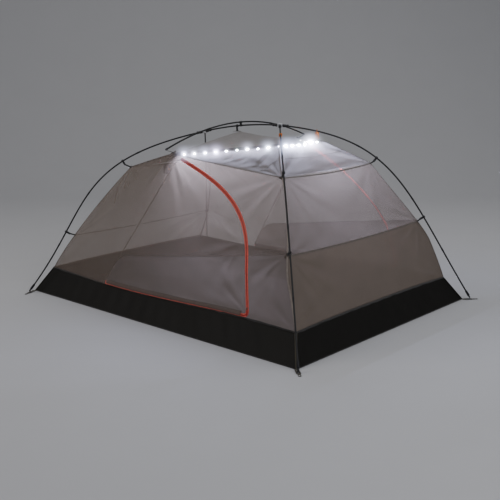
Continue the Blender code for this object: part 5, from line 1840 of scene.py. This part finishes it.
def ceiling_hook():
    """Hangs from the ridge pole and carries the ceiling's peak."""
    ring = arc(HOOK_R, -75, 225, 41)
    inner = [(HOOK_INNER_R / HOOK_R * x, HOOK_INNER_R / HOOK_R * y) for x, y in reversed(ring)]
    place = Matrix.Translation(ridge(HOOK_AT)) @ frame_from(ridge_slope(HOOK_AT), (0, 1, 0))
    build = Build().add(plate([ring + HOOK_STEM + inner], 0.006, 0.0008), place=place)
    base_at = place @ Vector((-0.0035, -0.0310, 0))
    build.add(lathe(HOOK_BASE_PROFILE, 26), place=Matrix.Translation(base_at))
    build.piece("ceiling_hook_body", [CLIP], "clip_plastic", replaces="ceiling_hook",
                smooth_angle=35.0)
    patch("ceiling_patch", base_at + Vector((0, 0, -0.0030)), (0, 0, 1), (1, 0, 0), 0.030)


for label, sign in Y_SIGNS:
    brow_strap(label, sign)
for label, sign in Y_SIGNS:
    head_tab(label, sign)
ceiling_hook()

# ---------------------------------------------------------------- light string
# The string follows the seam in three straight runs, from the front door round the gable.
SEAM_PATH = ((0.020, -0.572), (SEAM_CORNER[0] - 0.004, -SEAM_CORNER[1]),
             (SEAM_CORNER[0] - 0.004, SEAM_CORNER[1]), (0.020, 0.572))
SEAM_LENGTHS = [math.dist(start, end) for start, end in zip(SEAM_PATH, SEAM_PATH[1:])]
SEAM_DIRECTIONS = [unit((end[0] - start[0], end[1] - start[1]))
                   for start, end in zip(SEAM_PATH, SEAM_PATH[1:])]
TAPE_DROP = 0.0115  # below the ceiling
TURN_REACH = 0.015  # the tape starts to turn this far from a corner

LENS_PROFILE = ((0.0, 0.0008), (0.0040, 0.0008), (0.0042, 0.0022), (0.0038, 0.0036),
                (0.0028, 0.0046), (0.0014, 0.0051), (0.0, 0.0052))
RELIEF_PROFILE = ((0.0, -0.0008), (0.0032, -0.0008), (0.0032, 0.0006), (0.0024, 0.0014),
                  (0.0024, 0.0040), (0.0019, 0.0048), (0.0019, 0.0075), (0.0013, 0.0085),
                  (0.0, 0.0085))


def seam_point(distance):
    """The tape's point at a distance along the seam, and the direction it faces."""
    left = min(max(distance, 0.0), sum(SEAM_LENGTHS) - 1e-9)
    i = 0
    while left > SEAM_LENGTHS[i]:
        left -= SEAM_LENGTHS[i]
        i += 1
    mix, other = 0.0, i
    if SEAM_LENGTHS[i] - left < TURN_REACH and i < 2:
        other = i + 1
        mix = 0.5 * (1 - (SEAM_LENGTHS[i] - left) / TURN_REACH)
    elif left < TURN_REACH and i > 0:
        other = i - 1
        mix = 0.5 * (1 - left / TURN_REACH)
    direction, toward = SEAM_DIRECTIONS[i], SEAM_DIRECTIONS[other]
    facing = unit((lerp(direction[0], toward[0], mix), lerp(direction[1], toward[1], mix)))
    x = SEAM_PATH[i][0] + direction[0] * left
    y = SEAM_PATH[i][1] + direction[1] * left
    z = roof_z(x, y / -wall_y(x, eave(x))) - TAPE_DROP
    return Vector((x, y, z)), Vector((facing[0], facing[1], 0))


def light_string():
    total = sum(SEAM_LENGTHS)
    first = (total - LED_PITCH * (LED_COUNT - 1)) / 2
    centre = [seam_point(lerp(0.0, total - 0.001, i / 200))[0] + Vector((0, 0, 0.0002))
              for i in range(201)]
    section = flat_section(TAPE_WIDTH, TAPE_THICK * 0.8, crown=0.05)
    build = Build().add(sweep(centre, section, up=Vector((0, 0, 1))))
    for i in range(LED_COUNT):
        spot, facing = seam_point(first + i * LED_PITCH)
        place = Matrix.Translation(spot) @ frame_from((0, 0, -1), facing)
        build.add(rounded_box((0.0072, 0.0066, 0.0016), 0.0004, (0, 0, 0.0004)), 0, place)
        build.add(lathe(LENS_PROFILE, 20), 1, place)
    build.piece("light_string_tape", [TAPE, LENS], "light_tape", replaces="light_string")
    # cloth loops that hold the tape up under the seam
    holder = Build()
    for i in range(0, LED_COUNT - 1, 2):
        spot, facing = seam_point(first + (i + 0.5) * LED_PITCH)
        place = (Matrix.Translation(spot + Vector((0, 0, 0.0010)))
                 @ frame_from((0, 0, 1), facing))
        for size, middle in (
            ((0.007, 0.0012, 0.0112), (0, -0.0068, 0.0046)),
            ((0.007, 0.0012, 0.0112), (0, 0.0068, 0.0046)),
            ((0.007, 0.0146, 0.0010), (0, 0, -0.0016)),
        ):
            holder.add(rounded_box(size, 0.0004, middle, 1), 0, place)
    holder.piece("light_string_loops", [DARK_WEB], "webbing")


def light_lead():
    """The cord from the tape's front end down to the battery case, and its strain relief."""
    direction = SEAM_DIRECTIONS[0]
    start = seam_point(0.0)[0] + Vector(
        (-direction[0] * 0.0004, -direction[1] * 0.0004, TAPE_THICK / 2))
    top = Vector((BOX_CENTRE[0], BOX_CENTRE[1], BOX_CENTRE[2] + BOX_SIZE[2] / 2 + 0.0005))
    controls = (start, start + Vector((-0.045, -0.001, -0.001)), top + Vector((0, 0, 0.045)), top)
    Build().add(tube([bezier(controls, i / 50) for i in range(51)], 0.0012, 12)).piece(
        "light_lead_cord", [CORD], "webbing", replaces="light_lead")
    Build().add(lathe(RELIEF_PROFILE, 20), place=Matrix.Translation(top)).piece(
        "lead_relief", [RUBBER], "case")


light_string()
light_lead()

# ---------------------------------------------------------------- battery case
CASE_WALL = 0.002
CELL_PITCH = 0.0107
LID_GAP = 0.0004
BUTTON_RING = ((0.0050, -0.0012), (0.0066, -0.0012), (0.0066, 0.0005), (0.0060, 0.0010),
               (0.0052, 0.0010))
BUTTON_PROFILE = ((0.0, -0.0017), (0.0044, -0.0017), (0.0045, 0.0008), (0.0041, 0.0015),
                  (0.0030, 0.0017), (0.0026, 0.0013), (0.0, 0.0012))
BORE_PROFILE = ((0.0, -0.0060), (0.00485, -0.0060), (0.00485, 0.0060), (0.0, 0.0060))
CELL_BODY = ((0.0, -0.0206), (CELL_R, -0.0206), (CELL_R, 0.0196), (CELL_R - 0.0006, 0.0203),
             (0.0, 0.0203))
CELL_END = ((0.0, -0.0221), (0.0036, -0.0221), (0.0044, -0.0216), (0.0046, -0.0206),
            (0.0, -0.0206))
CELL_NUB = ((0.0, 0.0200), (0.0046, 0.0200), (0.0046, 0.0210), (0.0019, 0.0212),
            (0.0019, 0.0220), (0.0014, 0.0222), (0.0, 0.0222))


def from_box(x, y, z):
    """A point given from the case's centre."""
    return (BOX_CENTRE[0] + x, BOX_CENTRE[1] + y, BOX_CENTRE[2] + z)


def on_head_side(lift=0.0):
    """Place of the button, in the +X side of the case, with its axis along X."""
    spot = from_box(BOX_SIZE[0] / 2 + lift, 0.001, 0)
    return Matrix.Translation(spot) @ Matrix.Rotation(PI / 2, 4, "Y")


def rounded_outline(width, height, radius):
    outline = []
    for sign_x, sign_z, first in ((1, 1, 0), (-1, 1, 90), (-1, -1, 180), (1, -1, 270)):
        for k in range(7):
            angle = math.radians(first + 90 * k / 6)
            outline.append((sign_x * (width / 2 - radius) + radius * math.cos(angle),
                            sign_z * (height / 2 - radius) + radius * math.sin(angle)))
    return outline


def tray_shell():
    """Outer plate and four walls with rounded corners, open towards the tent's inside."""
    width, depth, height = BOX_SIZE
    outer = rounded_outline(width, height, 0.0045)
    inner = rounded_outline(width - 2 * CASE_WALL, height - 2 * CASE_WALL, 0.0028)
    count = len(outer)
    levels = (  # outline, y from the centre, scale
        (outer, -depth / 2 + 0.0010, 0.985), (outer, -depth / 2 + 0.0018, 1.0),
        (outer, depth / 2 - 0.0004, 1.0), (outer, depth / 2, 0.992),
        (inner, depth / 2, 1.0), (inner, -depth / 2 + CASE_WALL, 1.0),
    )
    verts = [from_box(x * size, y, z * size) for outline, y, size in levels for x, z in outline]
    plate_start = len(verts)
    verts += [from_box(x * 0.955, -depth / 2, z * 0.97) for x, z in outer]
    faces = []
    for level in range(5):
        low, high = level * count, (level + 1) * count
        for i in range(count):
            j = (i + 1) % count
            faces.append((low + i, low + j, high + j, high + i))
    for i in range(count):
        j = (i + 1) % count
        faces.append((plate_start + i, plate_start + j, j, i))
    faces.append(tuple(reversed([plate_start + i for i in range(count)])))
    faces.append(tuple(5 * count + i for i in range(count)))
    work = bmesh.new()
    made = [work.verts.new(v) for v in verts]
    for face in faces:
        work.faces.new([made[i] for i in face])
    bmesh.ops.recalc_face_normals(work, faces=work.faces)
    return from_bmesh(work)


def bore_button_hole(tray):
    """Cuts the bore that the button slides in."""
    verts, faces = lathe(BORE_PROFILE, 26)
    mesh = bpy.data.meshes.new("button_bore")
    mesh.from_pydata([tuple(v) for v in moved(verts, on_head_side())], [], faces)
    face_outwards(mesh)
    bore = bpy.data.objects.new("button_bore", mesh)
    SCENE.collection.objects.link(bore)
    cut = tray.modifiers.new("bore", "BOOLEAN")
    cut.object = bore
    cut.operation = "DIFFERENCE"
    cut.solver = "EXACT"
    cut.use_self = True
    bpy.context.view_layer.update()
    evaluated = tray.evaluated_get(bpy.context.evaluated_depsgraph_get())
    bored = bpy.data.meshes.new_from_object(evaluated)
    tray.modifiers.clear()
    tray.data = bored
    bpy.data.objects.remove(bore)


def battery_tray():
    build = Build().add(tray_shell())
    for k in range(4):
        rib_at = from_box(0, -BOX_SIZE[1] / 2 - 0.0001, -0.012 + k * 0.008)
        build.add(rounded_box((0.022, 0.0010, 0.0018), 0.0004, rib_at))
    build.add(turned_ring(BUTTON_RING, 26), 0, on_head_side())
    tray = build.piece("battery_case_tray", [CASE], "case", replaces="battery_case",
                       smooth_angle=32.0)
    bore_button_hole(tray)


def battery_lid():
    """A plate with a finger grip near its top and three ribs."""
    width, depth, height = BOX_SIZE
    inner_face = depth / 2 + LID_GAP
    lid = Build().add(rounded_box((width, LID_THICK, height), 0.0011,
                                  from_box(0, inner_face + LID_THICK / 2, 0), 3))
    grip_at = from_box(0, inner_face + LID_THICK, height / 2 - 0.0060)
    lid.add(rounded_box((0.014, 0.0012, 0.0040), 0.0005, grip_at))
    for k in range(3):
        rib_at = from_box(0, inner_face + LID_THICK, -0.004 + k * 0.0045)
        lid.add(rounded_box((0.020, 0.0008, 0.0014), 0.0003, rib_at))
    lid.piece("battery_lid_plate", [CASE], "case", body="battery_lid", replaces="battery_lid",
              smooth_angle=32.0)


def battery_cells():
    """Three cells, the middle one upside down, over a contact plate."""
    cells = Build()
    for k in range(3):
        place = (Matrix.Translation(from_box((k - 1) * CELL_PITCH, 0.0012, 0.001))
                 @ Matrix.Rotation(PI if k % 2 else 0, 4, "X"))
        for profile, mat in ((CELL_BODY, 1), (CELL_END, 0), (CELL_NUB, 0)):
            cells.add(lathe(profile, 24), mat, place)
    contact_at = from_box(0, 0.0012, 0.001 - 0.0226)
    cells.add(rounded_box((0.028, 0.006, 0.0010), 0.0003, contact_at))
    cells.piece("battery_cell_set", [CELL, CELL_WRAP], "cell", replaces="battery_cells",
                smooth_angle=32.0)


battery_tray()
Build().add(lathe(BUTTON_PROFILE, 26), place=on_head_side(lift=0.0001)).piece(
    "light_button_cap", [BUTTON], "orange_webbing", body="light_button", replaces="light_button",
    smooth_angle=32.0)
battery_lid()
battery_cells()

# ---------------------------------------------------------------- sliders and pulls
# Outlines with X up along the zip and Y across it.
SLIDER_SHIELD = [
    (-0.0080, -0.0026), (-0.0070, -0.0040), (-0.0020, -0.0044), (0.0040, -0.0052),
    (0.0074, -0.0050), (0.0080, -0.0030), (0.0080, 0.0030), (0.0074, 0.0050), (0.0040, 0.0052),
    (-0.0020, 0.0044), (-0.0070, 0.0040), (-0.0080, 0.0026),
]
BRIDGE_SECTION = [(-0.0017, -0.0005), (0.0017, -0.0005), (0.0019, 0.0), (0.0017, 0.0005),
                  (-0.0017, 0.0005), (-0.0019, 0.0)]
PULL_OUTLINE = [
    (0.0008, -0.0030), (-0.0060, -0.0034), (-0.0120, -0.0040), (-0.0300, -0.0040),
    (-0.0330, -0.0032), (-0.0344, -0.0012), (-0.0344, 0.0012), (-0.0330, 0.0032),
    (-0.0300, 0.0040), (-0.0120, 0.0040), (-0.0060, 0.0034), (0.0008, 0.0030),
    (0.0014, 0.0018), (0.0014, -0.0018),
]
PULL_HOLE = [(-0.0008, -0.0017), (-0.0052, -0.0019), (-0.0062, 0.0), (-0.0052, 0.0019),
             (-0.0008, 0.0017)]
SLIDER_ABOVE_CORNER = 0.046


def zip_from_corner(distance, start=ZIP_CORNER):
    return (start[0] - ZIP_DOWN[0] * distance, start[1] - ZIP_DOWN[1] * distance)


def slider(name, side):
    """A slider with an arched bridge, and the pull that hangs from it."""
    centre = zip_from_corner(SLIDER_ABOVE_CORNER)
    point = on_wall(centre, side)
    up = (on_wall(zip_from_corner(0.1, centre), side) - point).normalized()
    beside = on_wall((centre[0] + 0.05, centre[1]), side) - point
    out = beside.cross(up).normalized()
    if out.y * side > 0:
        out = -out
    turn = frame_from(out, up)
    place = Matrix.Translation(point) @ turn
    build = Build().add(plate([SLIDER_SHIELD], 0.0009, 0.0004), 0,
                        place @ Matrix.Translation((0, 0, 0.0042)))
    bridge = [place @ Vector((-0.0046 * math.cos(angle), 0.0, 0.0050 + 0.0030 * math.sin(angle)))
              for angle in np.linspace(0, PI, 15)]
    build.add(sweep(bridge, BRIDGE_SECTION, up=place.to_3x3() @ Vector((0, 1, 0))))
    build.piece(name + "_slider_body", [STEEL], "hub", body=name + "_slider",
                replaces=name + "_slider", smooth_angle=35.0)
    place = Matrix.Translation(point + out * 0.0066 - up * 0.0062) @ turn
    pull = Build().add(plate([PULL_OUTLINE, PULL_HOLE], 0.0007, 0.0003), 0, place)
    for k in range(5):
        for z in (-0.0008, 0.0008):
            rib = rounded_box((0.0014, 0.0056, 0.0006), 0.0002, (-0.016 - k * 0.0032, 0, z), 1)
            pull.add(rib, 0, place)
    pull.piece(name + "_pull_tab", [ZIP_TEETH], "zip", body=name + "_pull",
               replaces=name + "_pull", smooth_angle=35.0)


for place, side in WALLS:
    slider(place, side)

# ---------------------------------------------------------------- stage, light and camera
VIEW_DIRECTION = (-0.6378, 0.7393, -0.2160)
STAGE_HALF = 40.0
SWEEP_START, SWEEP_R, BACKDROP_TOP = 4.0, 3.0, 9.0


def stage():
    """A pale floor that curves up into a backdrop behind the tent, across the view."""
    profile = [(-STAGE_HALF, 0.0), (SWEEP_START, 0.0)]
    profile += [(SWEEP_START + SWEEP_R * math.sin(angle), SWEEP_R - SWEEP_R * math.cos(angle))
                for angle in np.linspace(0.1, PI / 2, 14)]
    profile.append((SWEEP_START + SWEEP_R, BACKDROP_TOP))
    direction = Vector((VIEW_DIRECTION[0], VIEW_DIRECTION[1], 0)).normalized()
    beside = Vector((direction.y, -direction.x, 0))
    mesh = bpy.data.meshes.new("stage_floor")
    work = bmesh.new()
    rows = [[work.verts.new(direction * along + beside * across + Vector((0, 0, height - 0.0012)))
             for across in (-STAGE_HALF, STAGE_HALF)] for along, height in profile]
    for near, far in zip(rows, rows[1:]):
        work.faces.new((near[0], near[1], far[1], far[0]))
    work.to_mesh(mesh)
    work.free()
    mesh.shade_smooth()
    obj = bpy.data.objects.new("stage_floor", mesh)
    SCENE.collection.objects.link(obj)
    made, tree = start_material("pale_floor")
    speckle = noise(tree, node(tree, "TexCoord").outputs["Object"], scale=3.0, detail=3.0)
    paint = scaled(tree, (0.62, 0.62, 0.635), to_range(tree, speckle, 0.98, 1.02))
    shader = node(tree, "BsdfPrincipled", {
        "Base Color": paint, "Roughness": 0.85, "Specular IOR Level": 0.2,
    }).outputs[0]
    mesh.materials.append(finish_material(made, shader))


def studio_world():
    world = bpy.data.worlds.new("soft_studio")
    world.use_nodes = True
    background = world.node_tree.nodes["Background"]
    background.inputs["Color"].default_value = (0.80, 0.82, 0.86, 1)
    background.inputs["Strength"].default_value = 0.22
    SCENE.world = world


def area(name, location, target, size, power, colour):
    light = bpy.data.lights.new(name, "AREA")
    light.shape = "SQUARE"
    light.size = size
    light.energy = power
    light.color = colour
    obj = bpy.data.objects.new(name, light)
    obj.location = location
    aim = Vector(target) - Vector(location)
    obj.rotation_euler = aim.to_track_quat("-Z", "Y").to_euler()
    SCENE.collection.objects.link(obj)


def led_run(i, outward):
    """The light that one run of the string gives: a narrow soft source under the tape."""
    half = SEAM_LENGTHS[i] / 2
    middle = sum(SEAM_LENGTHS[:i]) + half
    start, end = (seam_point(middle + sign * (half - 0.02))[0] for sign in (-1, 1))
    light = bpy.data.lights.new(f"led_run_{i}", "AREA")
    light.shape = "RECTANGLE"
    light.size = (end - start).length
    light.size_y = 0.012
    light.energy = 9.5
    light.color = (0.66, 0.72, 1.0)
    obj = bpy.data.objects.new(f"led_run_{i}", light)
    along = (end - start).normalized()
    down = Vector((0, 0, -1)) + Vector(outward).normalized() * 0.55
    down = (down - along * down.dot(along)).normalized()
    turn = Matrix((along, (-down).cross(along), -down)).transposed().to_4x4()
    obj.matrix_world = Matrix.Translation((start + end) / 2 - Vector((0, 0, 0.014))) @ turn
    obj.visible_camera = False
    obj.visible_glossy = False
    SCENE.collection.objects.link(obj)


def bloom():
    """The lights bloom, as they do to an eye or a lens in a dim room."""
    SCENE.use_nodes = True
    flow = SCENE.node_tree
    flow.nodes.clear()
    layers = flow.nodes.new("CompositorNodeRLayers")
    glare = flow.nodes.new("CompositorNodeGlare")
    glare.glare_type = "BLOOM"
    glare.quality = "HIGH"
    settings = {"Threshold": 6.0, "Smoothness": 0.2, "Strength": 1.0, "Size": 0.026}
    for key, value in settings.items():
        # guards against a glare node that lacks one of these inputs
        if key in glare.inputs:
            glare.inputs[key].default_value = value
    final = flow.nodes.new("CompositorNodeComposite")
    flow.links.new(layers.outputs["Image"], glare.inputs["Image"])
    flow.links.new(glare.outputs["Image"], final.inputs["Image"])


def add_camera():
    data = bpy.data.cameras.new("camera")
    data.lens = 64.6
    data.sensor_width = 36.0
    camera = bpy.data.objects.new("camera", data)
    camera.location = (3.779, -4.292, 1.574)
    camera.rotation_euler = Vector(VIEW_DIRECTION).to_track_quat("-Z", "Y").to_euler()
    SCENE.collection.objects.link(camera)
    SCENE.camera = camera


stage()
studio_world()
area("key", location=(-3.2, -4.6, 4.2), target=(0, 0, 0.3), size=3.4, power=92,
     colour=(1.0, 0.965, 0.93))
area("fill", location=(4.6, -1.6, 3.4), target=(0, 0, 0.4), size=3.6, power=72,
     colour=(0.96, 0.97, 1.0))
area("top", location=(0.2, 2.6, 5.2), target=(0, 0.4, 0.4), size=4.0, power=62,
     colour=(1.0, 1.0, 1.0))
for i, outward in enumerate(((0.35, -1.0, 0), (1.0, 0, 0), (0.35, 1.0, 0))):
    led_run(i, outward)
bloom()
add_camera()

bpy.context.view_layer.update()
